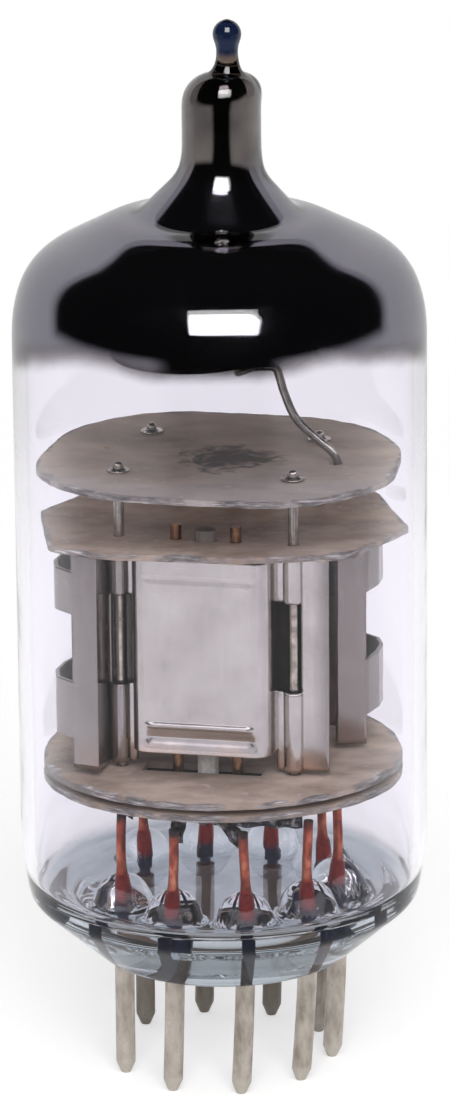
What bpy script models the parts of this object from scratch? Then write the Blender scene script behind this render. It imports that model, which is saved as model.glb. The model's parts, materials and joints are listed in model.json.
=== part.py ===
"""A nine-pin miniature vacuum tube: a twin triode in a glass bulb, standing on its pins.

The origin is on the tube's axis, level with the pin tips, with +Z up and the viewer's side at -Y.
Every length is in metres. The two triodes stand in front of and behind the axis, and the whole
inner structure is turned a little about Z against the ring of pins. Inside the bulb, plan
coordinates (u, v) are measured along that turned frame: u to the right, v to the back.
"""

import math

import bmesh
import bpy
from mathutils import Matrix, Vector

MM = 0.001

# Pins
PIN_COUNT = 9
PIN_STEP = math.radians(36.0)
FIRST_PIN_ANGLE = math.radians(-152.0)
PIN_CIRCLE_RADIUS = 5.945 * MM
PIN_RADIUS = 0.508 * MM
PIN_LENGTH = 6.0 * MM
PIN_IN_GLASS = 1.9 * MM
PIN_TIP_INSET = 0.25 * MM
PIN_TIP_BULGE = 0.07 * MM
PIN_TIP_TAPER = 0.7 * MM

# The glass button that carries the pins, and its seal to the bulb
GLASS_CLEARANCE = 0.03 * MM
BUTTON_MARGIN = 0.05 * MM
BUTTON_CORNER = 0.3 * MM
BUTTON_THICKNESS = 3.5 * MM
BEAD_RADIUS = 1.55 * MM
BEAD_HEIGHT = 1.7 * MM
BEAD_ROOT = 0.5 * MM
SEAL_INSET = 1.8 * MM
SEAL_GAP = 0.05 * MM
SEAL_EDGE = 0.25 * MM
SEAL_RISE = 0.3 * MM
SEAL_WALL = 0.5 * MM
SEAL_CORNER = 0.5 * MM

# Bulb, its heights measured up from the underside of the glass
BULB_RADIUS = 10.7 * MM
BULB_WALL = 0.7 * MM
BOWL_INSET = 0.4 * MM
BOWL_HEIGHT = 3.3 * MM
BOWL_CORNER = 0.8 * MM
TAPER_HEIGHT = 6.2 * MM
TAPER_CORNER = 3.0 * MM
SHOULDER_HEIGHT = 36.98 * MM
SHOULDER_CORNER = 5.08 * MM
SHOULDER_SLOPE = math.radians(23.0)
DOME_WALL = 0.8 * MM
NIPPLE_RADIUS = 2.02 * MM
NIPPLE_WALL = 0.77 * MM
NIPPLE_FLARE = 2.6 * MM
NIPPLE_HEIGHT = 46.8 * MM
NIPPLE_OFFSET = 0.4 * MM
BORE_CORNER = 0.75 * MM
TIP_NECK_RADIUS = 0.6 * MM
TIP_NECK_LENGTH = 1.3 * MM
TIP_FILLET = 0.2 * MM
TIP_BULGE = 0.17 * MM

# Mica sheets, their insets measured in from the inside of the bulb
MICA_THICKNESS = 0.35 * MM
HOLE_CLEARANCE = 0.05 * MM
BASE_MICA_HEIGHT = 11.1 * MM
BASE_MICA_GAP = 0.3 * MM
BASE_MICA_INSET = 0.6 * MM
VENT_MARGIN = 0.15 * MM
VENT_INSET = 0.25 * MM
VENT_SHIFT = 0.2 * MM
SPACER_MICA_GAP = 0.25 * MM
SPACER_POINT_INSET = 0.3 * MM
SPACER_SHORT_INSET = 1.05 * MM
SPACER_SIDE_INSET = 3.1 * MM
SPACER_POINT_HALF = 0.4 * MM
SPACER_CORNER_ANGLE = math.radians(41.0)
SPACER_SHORT_ANGLE = math.radians(146.0)
SPACER_BOW = 0.2 * MM
SHIELD_MICA_RISE = 3.4 * MM
SHIELD_INSET = 0.15 * MM
SHIELD_SIDE_ANGLE = math.radians(21.0)
SHIELD_FRONT_ANGLE = math.radians(55.0)
SHIELD_CORNER = 3.0 * MM

# Inner structure, in the turned plan frame
INNER_TURN = math.radians(-12.0)
TRIODE_OFFSET = 3.75 * MM
POST_SPACING = 4.5 * MM
POST_RADIUS = 0.27 * MM
POST_TAIL = 0.95 * MM
POST_STUB = 0.3 * MM
POST_HEAD = 0.3 * MM
EYELET_RADIUS = 0.5 * MM
EYELET_HEIGHT = 0.18 * MM
EYELET_BEVEL = 0.07 * MM
EYELET_LIFT = 0.03 * MM

# Anodes, the heights of what lies low measured up from the bottom edge of the box, the rest down from its top
SHEET = 0.2 * MM
SHEET_GAP = 0.06 * MM
ANODE_GAP = 0.3 * MM
WING_DROP = 1.1 * MM
ANODE_HEIGHT = 10.35 * MM
BOX_HALF_WIDTH = 3.35 * MM
BOX_HALF_DEPTH = 1.9 * MM
BOX_SPLAY = 0.3 * MM
BOX_CORNER = 0.45 * MM
WINDOW_BOTTOM = 3.1 * MM
WINDOW_DROP = 2.45 * MM
RIB_DEPTH = 0.15 * MM
RIB_HEIGHT = 0.45 * MM
RIB_HALF_LENGTH = 2.6 * MM
LOWER_RIB = 1.5 * MM
UPPER_RIB_DROP = 1.05 * MM
OUTER_WING_WIDTH = 1.8 * MM
INNER_WING_WIDTH = 1.6 * MM
INNER_EDGE_WIDTH = 0.5 * MM

# The cooling fin: each bend past its root as (share of its reach, distance outward), and its two straps
FIN_GLASS_GAP = 2.15 * MM
FIN_ROOT = 0.6 * MM
FIN_PLATE_BENDS = ((0.0, 0.13 * MM), (0.13, 2.1 * MM))
FIN_STRAP_BENDS = ((0.55, 1.65 * MM), (0.86, 0.95 * MM), (1.0, -0.1 * MM), (0.98, -1.4 * MM))
FIN_END_BENDS = ((0.82, -2.75 * MM), (0.22, -3.2 * MM))
LOWER_STRAP_BOTTOM = 0.5 * MM
LOWER_STRAP_HEIGHT = 3.0 * MM
UPPER_STRAP_DROP = 0.95 * MM
UPPER_STRAP_HEIGHT = 2.25 * MM

# Grids, cathodes and heaters
GRID_SPACING = 1.55 * MM
GRID_ROD_RADIUS = 0.28 * MM
GRID_WIRE_RADIUS = 0.07 * MM
GRID_TURNS = 7
GRID_CLEARANCE = 0.18 * MM
GRID_TAIL = 0.75 * MM
GRID_HEAD = 0.75 * MM
CATHODE_RADIUS = 0.55 * MM
CATHODE_WALL = 0.1 * MM
CATHODE_TAIL = 0.5 * MM
CATHODE_HEAD = 0.55 * MM
HEATER_WIRE_RADIUS = 0.11 * MM
HEATER_CLEARANCE = 0.1 * MM
HEATER_TAIL = 0.85 * MM
HEATER_INSET = 0.8 * MM

# Leads and the ribbons welded to them
POST_LEADS = (1, 6)
LEAD_RADIUS = 0.23 * MM
LEAD_DROP = 1.7 * MM
LEAD_GAP = 0.1 * MM
RIBBON_THICKNESS = 0.12 * MM
RIBBON_WIDTH = 0.8 * MM
TIE_WIDTH = 0.64 * MM
RIBBON_GAP = 0.05 * MM
RIBBON_BEND_DROP = 0.05 * MM
TIE_OVERLAP = 0.5 * MM
TIE_SAG = 0.25 * MM
CLIP_BELOW = 0.9 * MM
CLIP_ABOVE = 0.3 * MM
HEATER_RIBBON_DROP = 0.44 * MM

# Bends of the heater ribbons on their way in from leads 4, 5 and 9, in plan
HEATER_RIBBON_BENDS = {
    4: ((2.6 * MM, -3.0 * MM),),
    5: ((2.9 * MM, 1.4 * MM),),
    9: ((-2.2 * MM, 2.2 * MM), (-1.6 * MM, 0.0)),
}

# Getter, its ring off the axis; the bends of its wire as (x, y, share of the way up to the ring), then as
# (angle round the ring, drop below it)
GETTER_HOLE = 6.0 * MM
GETTER_HOLE_BACK = -0.45 * MM
GETTER_WIRE_RADIUS = 0.22 * MM
GETTER_WIRE_BELOW = 0.3 * MM
GETTER_WIRE_STRAIGHT = 0.15 * MM
GETTER_WIRE_BENDS = (
    (5.3 * MM, -1.69 * MM, 0.14), (4.3 * MM, -1.4 * MM, 0.31),
    (3.55 * MM, -1.2 * MM, 0.48), (3.12 * MM, -1.0 * MM, 0.68), (2.85 * MM, -1.0 * MM, 0.85),
)
GETTER_WIRE_REST = (
    (math.radians(-18.0), 0.12 * MM), (math.radians(-30.0), 0.0), (math.radians(-46.0), 0.0),
)
GETTER_SHIFT = -1.6 * MM
GETTER_RISE_SHARE = 0.46
GETTER_RADIUS = 3.6 * MM
GETTER_WIDTH = 0.8 * MM
GETTER_DEPTH = 0.55 * MM
GETTER_SHEET = 0.15 * MM
GETTER_GAP = 0.05 * MM

# Facets round a full turn, and steps in an arc or between two points of a curve
BULB_FACETS = 36
RING_FACETS = 24
PIN_FACETS = 14
EYELET_FACETS = 12
ROD_FACETS = 10
WIRE_SIDES = 8
ARC_STEPS = 4
MICA_ARC_STEPS = 3
WIRE_STEPS = 3

# Levels and sizes that follow from the ones above
SEAT_Z = PIN_LENGTH
FLOOR_Z = SEAT_Z + BUTTON_THICKNESS
PIN_TOP_Z = SEAT_Z + PIN_IN_GLASS
SHOULDER_Z = SEAT_Z + SHOULDER_HEIGHT
NIPPLE_TOP_Z = SEAT_Z + NIPPLE_HEIGHT
BASE_MICA_TOP = SEAT_Z + BASE_MICA_HEIGHT
STACK_BOTTOM = BASE_MICA_TOP - 2.0 * MICA_THICKNESS - BASE_MICA_GAP
WING_BOTTOM = BASE_MICA_TOP + ANODE_GAP
BOX_BOTTOM = WING_BOTTOM + WING_DROP
ANODE_TOP = BOX_BOTTOM + ANODE_HEIGHT
WINDOW_TOP = ANODE_HEIGHT - WINDOW_DROP
RIB_LEVELS = (LOWER_RIB, ANODE_HEIGHT - UPPER_RIB_DROP)
UPPER_STRAP_TOP = ANODE_HEIGHT - UPPER_STRAP_DROP
FIN_STRAPS = (
    (LOWER_STRAP_BOTTOM, LOWER_STRAP_BOTTOM + LOWER_STRAP_HEIGHT),
    (UPPER_STRAP_TOP - UPPER_STRAP_HEIGHT, UPPER_STRAP_TOP),
)
SPACER_MICA_TOP = ANODE_TOP + SPACER_MICA_GAP + MICA_THICKNESS
SHIELD_MICA_TOP = SPACER_MICA_TOP + SHIELD_MICA_RISE
CATHODE_BOTTOM = STACK_BOTTOM - CATHODE_TAIL
HEATER_BOTTOM = CATHODE_BOTTOM - HEATER_TAIL
GRID_BOTTOM = STACK_BOTTOM - GRID_TAIL
LEAD_TOP = STACK_BOTTOM - LEAD_DROP
POST_LEAD_TOP = STACK_BOTTOM - POST_TAIL - LEAD_GAP
BUTTON_FLAT_RADIUS = PIN_CIRCLE_RADIUS + PIN_RADIUS + BUTTON_MARGIN
BOWL_RADIUS = BULB_RADIUS - BOWL_INSET
SEAL_RADIUS = BULB_RADIUS - SEAL_INSET
INNER_RADIUS = BULB_RADIUS - BULB_WALL
INNER_SHOULDER_Z = SHOULDER_Z - DOME_WALL / math.cos(SHOULDER_SLOPE) + BULB_WALL * math.tan(SHOULDER_SLOPE)
GETTER_SPAN = GETTER_RADIUS + abs(GETTER_SHIFT)
DOME_Z = INNER_SHOULDER_Z + (INNER_RADIUS - GETTER_SPAN) * math.tan(SHOULDER_SLOPE)
GETTER_Z = SHIELD_MICA_TOP + GETTER_RISE_SHARE * (DOME_Z - SHIELD_MICA_TOP)
FIN_REACH = INNER_RADIUS - FIN_GLASS_GAP - POST_SPACING - FIN_ROOT
NIPPLE_BORE = NIPPLE_RADIUS - NIPPLE_WALL
TIP_BALL_RADIUS = TIP_NECK_RADIUS + TIP_BULGE
TUBE_RADIUS = POST_RADIUS + HOLE_CLEARANCE + SHEET / 2.0
SHEET_OFFSET = (SHEET + SHEET_GAP) / 2.0
HEATER_LEG = CATHODE_RADIUS - CATHODE_WALL - HEATER_CLEARANCE - HEATER_WIRE_RADIUS

FINISHES = {
    "clear blown glass": ((0.78, 0.78, 0.84), 0.05, 0.0),
    "pressed base glass": ((0.60, 0.64, 0.66), 0.08, 0.0),
    "nickel pin wire": ((0.42, 0.38, 0.32), 0.42, 0.9),
    "copper-clad lead wire": ((0.62, 0.24, 0.12), 0.35, 0.9),
    "punched mica sheet": ((0.33, 0.28, 0.24), 0.5, 0.0),
    "nickel-plated iron sheet": ((0.55, 0.50, 0.45), 0.3, 1.0),
    "nickel wire": ((0.50, 0.47, 0.43), 0.3, 1.0),
    "oxide-coated nickel": ((0.85, 0.84, 0.80), 0.9, 0.0),
    "alumina-coated tungsten": ((0.88, 0.86, 0.84), 0.9, 0.0),
    "oxidised nickel ribbon": ((0.10, 0.09, 0.09), 0.5, 0.9),
}
SMOOTH_BELOW = math.radians(35.0)
MERGE_DISTANCE = 1e-7


def clear_scene():
    """Removes whatever the file holds, so that the script starts from nothing."""
    for item in list(bpy.data.objects):
        bpy.data.objects.remove(item, do_unlink=True)


def finish(name):
    """Returns the plain Principled material of that name, made once."""
    found = bpy.data.materials.get(name)
    if found:
        return found
    colour, roughness, metallic = FINISHES[name]
    material = bpy.data.materials.new(name)
    material.use_nodes = True
    shader = material.node_tree.nodes["Principled BSDF"]
    shader.inputs["Base Color"].default_value = (*colour, 1.0)
    shader.inputs["Roughness"].default_value = roughness
    shader.inputs["Metallic"].default_value = metallic
    return material


def place(name, mesh, material, smooth=True):
    """Links a mesh as a named object with its material, round faces shaded smooth."""
    if smooth:
        mesh.shade_smooth()
        mesh.set_sharp_from_angle(angle=SMOOTH_BELOW)
    item = bpy.data.objects.new(name, mesh)
    item.data.materials.append(finish(material))
    bpy.context.collection.objects.link(item)
    return item


def mesh_of(bm, name):
    """Closes off a bmesh: outward normals, then a mesh data-block."""
    bmesh.ops.recalc_face_normals(bm, faces=bm.faces)
    mesh = bpy.data.meshes.new(name)
    bm.to_mesh(mesh)
    bm.free()
    return mesh


def turned_frame():
    """The matrix that takes inner plan coordinates (u, v) to the tube's own frame."""
    return Matrix.Rotation(INNER_TURN, 4, "Z")


def pin_place(number):
    """Where pin `number` stands, in the tube's own frame."""
    angle = FIRST_PIN_ANGLE + (number - 1) * PIN_STEP
    return Vector((math.cos(angle), math.sin(angle), 0.0)) * PIN_CIRCLE_RADIUS


def pin_plan(number):
    """The same place in the turned plan frame of the inner structure."""
    return Matrix.Rotation(-INNER_TURN, 3, "Z") @ pin_place(number)


def rounded(corners, steps=ARC_STEPS):
    """Points of an outline from (point, radius) corners: each radius becomes an arc that meets both sides."""
    out = []
    count = len(corners)
    for i, (point, radius) in enumerate(corners):
        here = Vector(point)
        if radius <= 0.0:
            out.append(tuple(here))
            continue
        before = (Vector(corners[i - 1][0]) - here).normalized()
        after = (Vector(corners[(i + 1) % count][0]) - here).normalized()
        half = before.angle(after) / 2.0
        centre = here + (before + after).normalized() * (radius / math.sin(half))
        start = here + before * (radius / math.tan(half)) - centre
        sweep = math.pi - 2.0 * half
        turn = math.copysign(1.0, start.cross(here - centre))
        for step in range(steps + 1):
            spoke = Matrix.Rotation(turn * sweep * step / steps, 2) @ start
            out.append(tuple(centre + spoke))
    return out


def arc(centre, radius, start, end, steps):
    """Points on a circle from one angle to another, both ends included."""
    angles = [start + (end - start) * i / steps for i in range(steps + 1)]
    return [(centre[0] + radius * math.cos(a), centre[1] + radius * math.sin(a)) for a in angles]


def circle(centre, radius, facets):
    return arc(centre, radius, 0.0, 2.0 * math.pi, facets)[:-1]


def turned(name, outline, facets, material, ring=False):
    """Spins an outline of (radius, height) points about Z: a ring where it closes on itself."""
    bm = bmesh.new()
    verts = [bm.verts.new((r, 0.0, z)) for r, z in outline]
    pairs = list(zip(verts, verts[1:]))
    if ring:
        pairs.append((verts[-1], verts[0]))
    edges = [bm.edges.new(pair) for pair in pairs]
    bmesh.ops.spin(
        bm, geom=verts + edges, axis=(0.0, 0.0, 1.0), cent=(0.0, 0.0, 0.0),
        angle=2.0 * math.pi, steps=facets, use_merge=True,
    )
    bmesh.ops.remove_doubles(bm, verts=bm.verts, dist=MERGE_DISTANCE)
    on_axis = [edge for edge in bm.edges if not edge.link_faces]
    bmesh.ops.delete(bm, geom=on_axis, context="EDGES")
    return place(name, mesh_of(bm, name), material)


def rod(name, radius, bottom, top, facets, material):
    """A straight round rod between two heights, upright on its own origin."""
    return turned(name, [(0.0, bottom), (radius, bottom), (radius, top), (0.0, top)], facets, material)


def slot(centre, length, width):
    """A straight-sided slot along u with square ends."""
    u, v = centre
    du, dv = length / 2.0, width / 2.0
    return [(u - du, v - dv), (u + du, v - dv), (u + du, v + dv), (u - du, v + dv)]


def mica(name, outline, holes, top):
    """A flat punched sheet in the turned plan frame, its upper face at `top`."""
    bm = bmesh.new()
    for loop in [outline, *holes]:
        verts = [bm.verts.new((u, v, top - MICA_THICKNESS)) for u, v in loop]
        for i, vert in enumerate(verts):
            bm.edges.new((vert, verts[(i + 1) % len(verts)]))
    bmesh.ops.triangle_fill(bm, use_beauty=True, edges=bm.edges)
    lifted = bmesh.ops.extrude_face_region(bm, geom=bm.faces[:])
    moved = [item for item in lifted["geom"] if isinstance(item, bmesh.types.BMVert)]
    bmesh.ops.translate(bm, vec=(0.0, 0.0, MICA_THICKNESS), verts=moved)
    item = place(name, mesh_of(bm, name), "punched mica sheet")
    item.matrix_world = turned_frame()
    return item


def wire(name, points, radius, material):
    """A round wire along hand-set points, with closed ends."""
    curve = bpy.data.curves.new(name, "CURVE")
    curve.dimensions = "3D"
    curve.bevel_depth = radius
    curve.bevel_resolution = (WIRE_SIDES - 4) // 2
    curve.use_fill_caps = True
    spline = curve.splines.new("POLY")
    spline.points.add(len(points) - 1)
    for target, point in zip(spline.points, points):
        target.co = (*point, 1.0)
    curve.materials.append(finish(material))
    item = bpy.data.objects.new(name, curve)
    bpy.context.collection.objects.link(item)
    return item


def smooth_path(points, steps):
    """Reads a Catmull-Rom curve through the route's points, `steps` for each stretch."""
    route = [Vector(p) for p in points]
    ends = [2.0 * route[0] - route[1], *route, 2.0 * route[-1] - route[-2]]
    out = []
    for i in range(1, len(ends) - 2):
        a, b, c, d = ends[i - 1:i + 3]
        for step in range(steps):
            t = step / steps
            linear = (c - a) * t
            square = (2.0 * a - 5.0 * b + 4.0 * c - d) * t ** 2
            cubic = (3.0 * b - a - 3.0 * c + d) * t ** 3
            out.append(b + (linear + square + cubic) / 2.0)
    return [*out, route[-1]]


def ribbon(name, points, side, width):
    """A flat ribbon along points, `side` being the direction that its width runs in."""
    bm = bmesh.new()
    route = [Vector(p) for p in points]
    across = Vector(side).normalized() * (width / 2.0)
    rings = []
    for i, point in enumerate(route):
        along = (route[min(i + 1, len(route) - 1)] - route[max(i - 1, 0)]).normalized()
        out = along.cross(across).normalized() * (RIBBON_THICKNESS / 2.0)
        corners = (across + out, across - out, -across - out, -across + out)
        rings.append([bm.verts.new(point + corner) for corner in corners])
    bm.faces.new(rings[0])
    bm.faces.new(rings[-1])
    for low, high in zip(rings, rings[1:]):
        for i in range(4):
            bm.faces.new((low[i], low[(i + 1) % 4], high[(i + 1) % 4], high[i]))
    item = place(name, mesh_of(bm, name), "oxidised nickel ribbon", smooth=False)
    item.matrix_world = turned_frame()
    return item


def cut(target, cutter, operation):
    """Adds a Boolean between two closed solids and keeps the cutter out of the model."""
    modifier = target.modifiers.new(operation.title(), "BOOLEAN")
    modifier.operation = operation
    modifier.solver = "EXACT"
    modifier.object = cutter
    cutter.hide_render = True
    cutter.display_type = "WIRE"


def joined(name, parts, material):
    """Joins closed, separate solids into one object, for use as a cutter or an addition."""
    bm = bmesh.new()
    for part in parts:
        bm.from_mesh(part.data)
        bm.verts.ensure_lookup_table()
        added = bm.verts[-len(part.data.vertices):]
        bmesh.ops.transform(bm, matrix=part.matrix_basis, verts=added)
    for part in parts:
        bpy.data.objects.remove(part, do_unlink=True)
    return place(name, mesh_of(bm, name), material)


def four(u, v):
    """The four places that share a distance across and a distance deep."""
    return [(u, v), (-u, v), (-u, -v), (u, -v)]


# Glass


def outer_glass():
    """The outer outline of the bulb and its button, from the axis below to the tip above."""
    flare = SHOULDER_Z + (BULB_RADIUS - NIPPLE_RADIUS) * math.tan(SHOULDER_SLOPE)
    ball = NIPPLE_TOP_Z + TIP_NECK_LENGTH + TIP_BALL_RADIUS
    neck = -math.acos(TIP_NECK_RADIUS / TIP_BALL_RADIUS)
    crown = NIPPLE_RADIUS - TIP_NECK_RADIUS - TIP_FILLET
    corners = [
        ((0.0, SEAT_Z), 0.0),
        ((BUTTON_FLAT_RADIUS, SEAT_Z), BUTTON_CORNER),
        ((BOWL_RADIUS, SEAT_Z + BOWL_HEIGHT), BOWL_CORNER),
        ((BULB_RADIUS, SEAT_Z + TAPER_HEIGHT), TAPER_CORNER),
        ((BULB_RADIUS, SHOULDER_Z), SHOULDER_CORNER),
        ((NIPPLE_RADIUS, flare), NIPPLE_FLARE),
        ((NIPPLE_RADIUS, NIPPLE_TOP_Z), crown),
        ((TIP_NECK_RADIUS, NIPPLE_TOP_Z), TIP_FILLET),
        ((TIP_NECK_RADIUS, ball + TIP_BALL_RADIUS * math.sin(neck)), 0.0),
    ]
    return rounded(corners)[:-1] + arc((0.0, ball), TIP_BALL_RADIUS, neck, math.pi / 2.0, ARC_STEPS)


def inner_glass():
    """The bulb's inner outline, from the seal up to the closed end of the nipple's bore."""
    flare = INNER_SHOULDER_Z + (INNER_RADIUS - NIPPLE_BORE) * math.tan(SHOULDER_SLOPE)
    top = NIPPLE_TOP_Z - DOME_WALL
    return rounded([
        ((SEAL_RADIUS, FLOOR_Z + SEAL_EDGE), 0.0),
        ((BOWL_RADIUS - SEAL_WALL, FLOOR_Z + SEAL_EDGE + SEAL_RISE), SEAL_CORNER),
        ((INNER_RADIUS, SEAT_Z + TAPER_HEIGHT), TAPER_CORNER),
        ((INNER_RADIUS, INNER_SHOULDER_Z), SHOULDER_CORNER - BULB_WALL),
        ((NIPPLE_BORE, flare), NIPPLE_FLARE),
        ((NIPPLE_BORE, top), min(BORE_CORNER, NIPPLE_BORE)),
        ((0.0, top), 0.0),
    ])


def height_at(outline, radius):
    """The height at which the outline first reaches a radius, going up."""
    for (r0, z0), (r1, z1) in zip(outline, outline[1:]):
        if r0 < radius <= r1:
            return z0 + (z1 - z0) * (radius - r0) / (r1 - r0)
    return outline[-1][1]


def glass_bulb():
    """The blown bulb: one shell, open below where the button closes it, with the drawn tip on top."""
    outer = outer_glass()
    wall = [p for p in outer if p[0] > SEAL_RADIUS or p[1] > FLOOR_Z]
    shell = [(SEAL_RADIUS, height_at(outer, SEAL_RADIUS)), *wall, *reversed(inner_glass())]
    bulb = turned("glass_bulb", shell, BULB_FACETS, "clear blown glass", ring=True)
    lean_nipple(bulb)


def lean_nipple(item):
    """Leans the drawn nipple a little off the axis, as hand sealing leaves it."""
    rise = NIPPLE_TOP_Z - SHOULDER_Z
    for vert in item.data.vertices:
        share = min(max((vert.co.z - SHOULDER_Z) / rise, 0.0), 1.0)
        vert.co.x += NIPPLE_OFFSET * share ** 2


def glass_bead():
    """The bead of glass that the button draws up round one wire, as a half ellipse on a root."""
    root = FLOOR_Z - BEAD_ROOT
    dome = [(r, FLOOR_Z + BEAD_HEIGHT * z) for r, z in arc((0.0, 0.0), 1.0, 0.0, math.pi / 2.0, ARC_STEPS)]
    outline = [(0.0, root), (BEAD_RADIUS, root), *[(BEAD_RADIUS * r, z) for r, z in dome]]
    return turned("bead", outline, ROD_FACETS, "pressed base glass")


def wire_drill():
    """What one pin and its lead take out of the button, with their clearance."""
    hole = PIN_RADIUS + GLASS_CLEARANCE
    bore = LEAD_RADIUS + GLASS_CLEARANCE
    below = SEAT_Z - BEAD_HEIGHT
    step = PIN_TOP_Z + GLASS_CLEARANCE
    above = FLOOR_Z + 2.0 * BEAD_HEIGHT
    outline = [(0.0, below), (hole, below), (hole, step), (bore, step), (bore, above), (0.0, above)]
    return turned("drill", outline, PIN_FACETS, "pressed base glass")


def button_stem():
    """The pressed glass button: a thick disc with a bead of glass round each wire, drilled for them."""
    outer = outer_glass()
    rim = SEAL_RADIUS - SEAL_GAP
    below = [p for p in outer if p[0] < rim and p[1] < FLOOR_Z]
    above = [
        (rim, height_at(outer, rim)), (rim, FLOOR_Z + SEAL_EDGE),
        (rim - SEAL_CORNER, FLOOR_Z), (0.0, FLOOR_Z),
    ]
    stem = turned("button_stem", below + above, BULB_FACETS, "pressed base glass")
    beads = []
    drills = []
    for number in range(1, PIN_COUNT + 1):
        beads.append(glass_bead())
        drills.append(wire_drill())
        beads[-1].location = pin_place(number)
        drills[-1].location = pin_place(number)
    bpy.context.view_layer.update()
    cut(stem, joined("cutter_beads", beads, "pressed base glass"), "UNION")
    cut(stem, joined("cutter_wires", drills, "pressed base glass"), "DIFFERENCE")


# Pins, leads and ribbons


def pins():
    """Nine straight pins with blunt tapered tips, their upper ends sealed in the button."""
    outline = [
        (0.0, 0.0), (PIN_RADIUS - PIN_TIP_INSET, 0.0), (PIN_RADIUS - PIN_TIP_BULGE, PIN_TIP_TAPER / 2.0),
        (PIN_RADIUS, PIN_TIP_TAPER), (PIN_RADIUS, PIN_TOP_Z), (0.0, PIN_TOP_Z),
    ]
    for number in range(1, PIN_COUNT + 1):
        pin = turned(f"pin_{number}", outline, PIN_FACETS, "nickel pin wire")
        pin.location = pin_place(number)


def leads():
    """The inner lead above each pin; two of them reach up to an anode post."""
    bottom = PIN_TOP_Z + GLASS_CLEARANCE
    for number in range(1, PIN_COUNT + 1):
        top = POST_LEAD_TOP if number in POST_LEADS else LEAD_TOP
        lead = rod(f"lead_{number}", LEAD_RADIUS, bottom, top, ROD_FACETS, "copper-clad lead wire")
        lead.location = pin_place(number)


def beside(number, height):
    """A point just inside lead `number`, where a ribbon lies against it."""
    inward = LEAD_RADIUS + RIBBON_GAP + RIBBON_THICKNESS / 2.0
    spot = pin_plan(number) * (1.0 - inward / PIN_CIRCLE_RADIUS)
    return Vector((spot.x, spot.y, height))


def post_clips():
    """A short upright strip that ties each long lead to the foot of its anode post."""
    for number in POST_LEADS:
        points = [beside(number, POST_LEAD_TOP - CLIP_BELOW), beside(number, POST_LEAD_TOP + CLIP_ABOVE)]
        side = pin_plan(number).cross(Vector((0.0, 0.0, 1.0)))
        ribbon(f"ribbon_{number}", points, side, RIBBON_WIDTH)


def electrode_ties():
    """Bent strips from four leads to the foot of a grid rod or a cathode sleeve."""
    ties = {
        2: (-GRID_SPACING, -TRIODE_OFFSET, GRID_ROD_RADIUS, GRID_BOTTOM),
        3: (0.0, -TRIODE_OFFSET, CATHODE_RADIUS, CATHODE_BOTTOM),
        7: (GRID_SPACING, TRIODE_OFFSET, GRID_ROD_RADIUS, GRID_BOTTOM),
        8: (0.0, TRIODE_OFFSET, CATHODE_RADIUS, CATHODE_BOTTOM),
    }
    for number, (u, v, radius, bottom) in ties.items():
        away = v + math.copysign(radius + RIBBON_GAP + RIBBON_THICKNESS, v)
        start = beside(number, LEAD_TOP - RIBBON_WIDTH)
        bend = beside(number, LEAD_TOP - RIBBON_BEND_DROP)
        foot = Vector((u, away, bottom - TIE_SAG))
        end = Vector((u, away, bottom + TIE_OVERLAP))
        ribbon(f"ribbon_{number}", [start, bend, bend.lerp(foot, 0.5), foot, end], (1.0, 0.0, 0.0), TIE_WIDTH)


def heater_ribbons():
    """Level strips from the heater leads to the ends of the two heater wires."""
    level = HEATER_BOTTOM - HEATER_RIBBON_DROP
    inset = TRIODE_OFFSET - RIBBON_THICKNESS
    ends = {4: (HEATER_LEG, -inset), 5: (HEATER_LEG, inset), 9: (-HEATER_LEG, -inset)}
    for number, bends in HEATER_RIBBON_BENDS.items():
        points = [beside(number, level)]
        points += [(u, v, level) for u, v in (*bends, ends[number])]
        ribbon(f"ribbon_{number}", points, (0.0, 0.0, 1.0), RIBBON_WIDTH)


# Mica sheets


def round_holes(places, radius):
    """Holes a little wider than the round pieces that pass through them."""
    return [circle(spot, radius + HOLE_CLEARANCE, ROD_FACETS) for spot in places]


def electrode_holes():
    """Holes for the posts, grid rods and cathodes."""
    holes = round_holes(four(POST_SPACING, TRIODE_OFFSET), POST_RADIUS)
    holes += round_holes(four(GRID_SPACING, TRIODE_OFFSET), GRID_ROD_RADIUS)
    return holes + round_holes([(0.0, -TRIODE_OFFSET), (0.0, TRIODE_OFFSET)], CATHODE_RADIUS)


def vents():
    """The slot under each anode box that leaves its grid and cathode free of the upper sheet."""
    length = 2.0 * (BOX_HALF_WIDTH - VENT_INSET)
    width = 2.0 * (CATHODE_RADIUS + VENT_MARGIN)
    middles = [(-VENT_SHIFT, -TRIODE_OFFSET), (VENT_SHIFT, TRIODE_OFFSET)]
    return [slot(middle, length, width) for middle in middles]


def spacer_outline():
    """Four points touch the glass, two long sides bow out and two short ones are cut straight."""
    point = INNER_RADIUS - SPACER_POINT_INSET
    short = INNER_RADIUS - SPACER_SHORT_INSET
    side = INNER_RADIUS - SPACER_SIDE_INSET
    half = [
        ((point, SPACER_POINT_HALF), 0.5 * MM),
        ((point * math.cos(SPACER_CORNER_ANGLE), point * math.sin(SPACER_CORNER_ANGLE)), 1.2 * MM),
        ((POST_SPACING, side + SPACER_BOW), 2.0 * MM),
        ((-POST_SPACING / 2.0, side - SPACER_BOW), 3.0 * MM),
        ((short * math.cos(SPACER_SHORT_ANGLE), short * math.sin(SPACER_SHORT_ANGLE)), 0.8 * MM),
    ]
    return rounded(half + [((-u, -v), radius) for (u, v), radius in half], MICA_ARC_STEPS)


def shield_outline():
    """A broad oval with flattened sides: eight corners near the glass, each rounded off."""
    reach = INNER_RADIUS - SHIELD_INSET
    quarter = (SHIELD_SIDE_ANGLE, SHIELD_FRONT_ANGLE)
    half = [*quarter, *(math.pi - angle for angle in reversed(quarter))]
    corners = [(reach * math.cos(a), reach * math.sin(a)) for a in [*half, *(a + math.pi for a in half)]]
    return rounded([(corner, SHIELD_CORNER) for corner in corners], MICA_ARC_STEPS)


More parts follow.
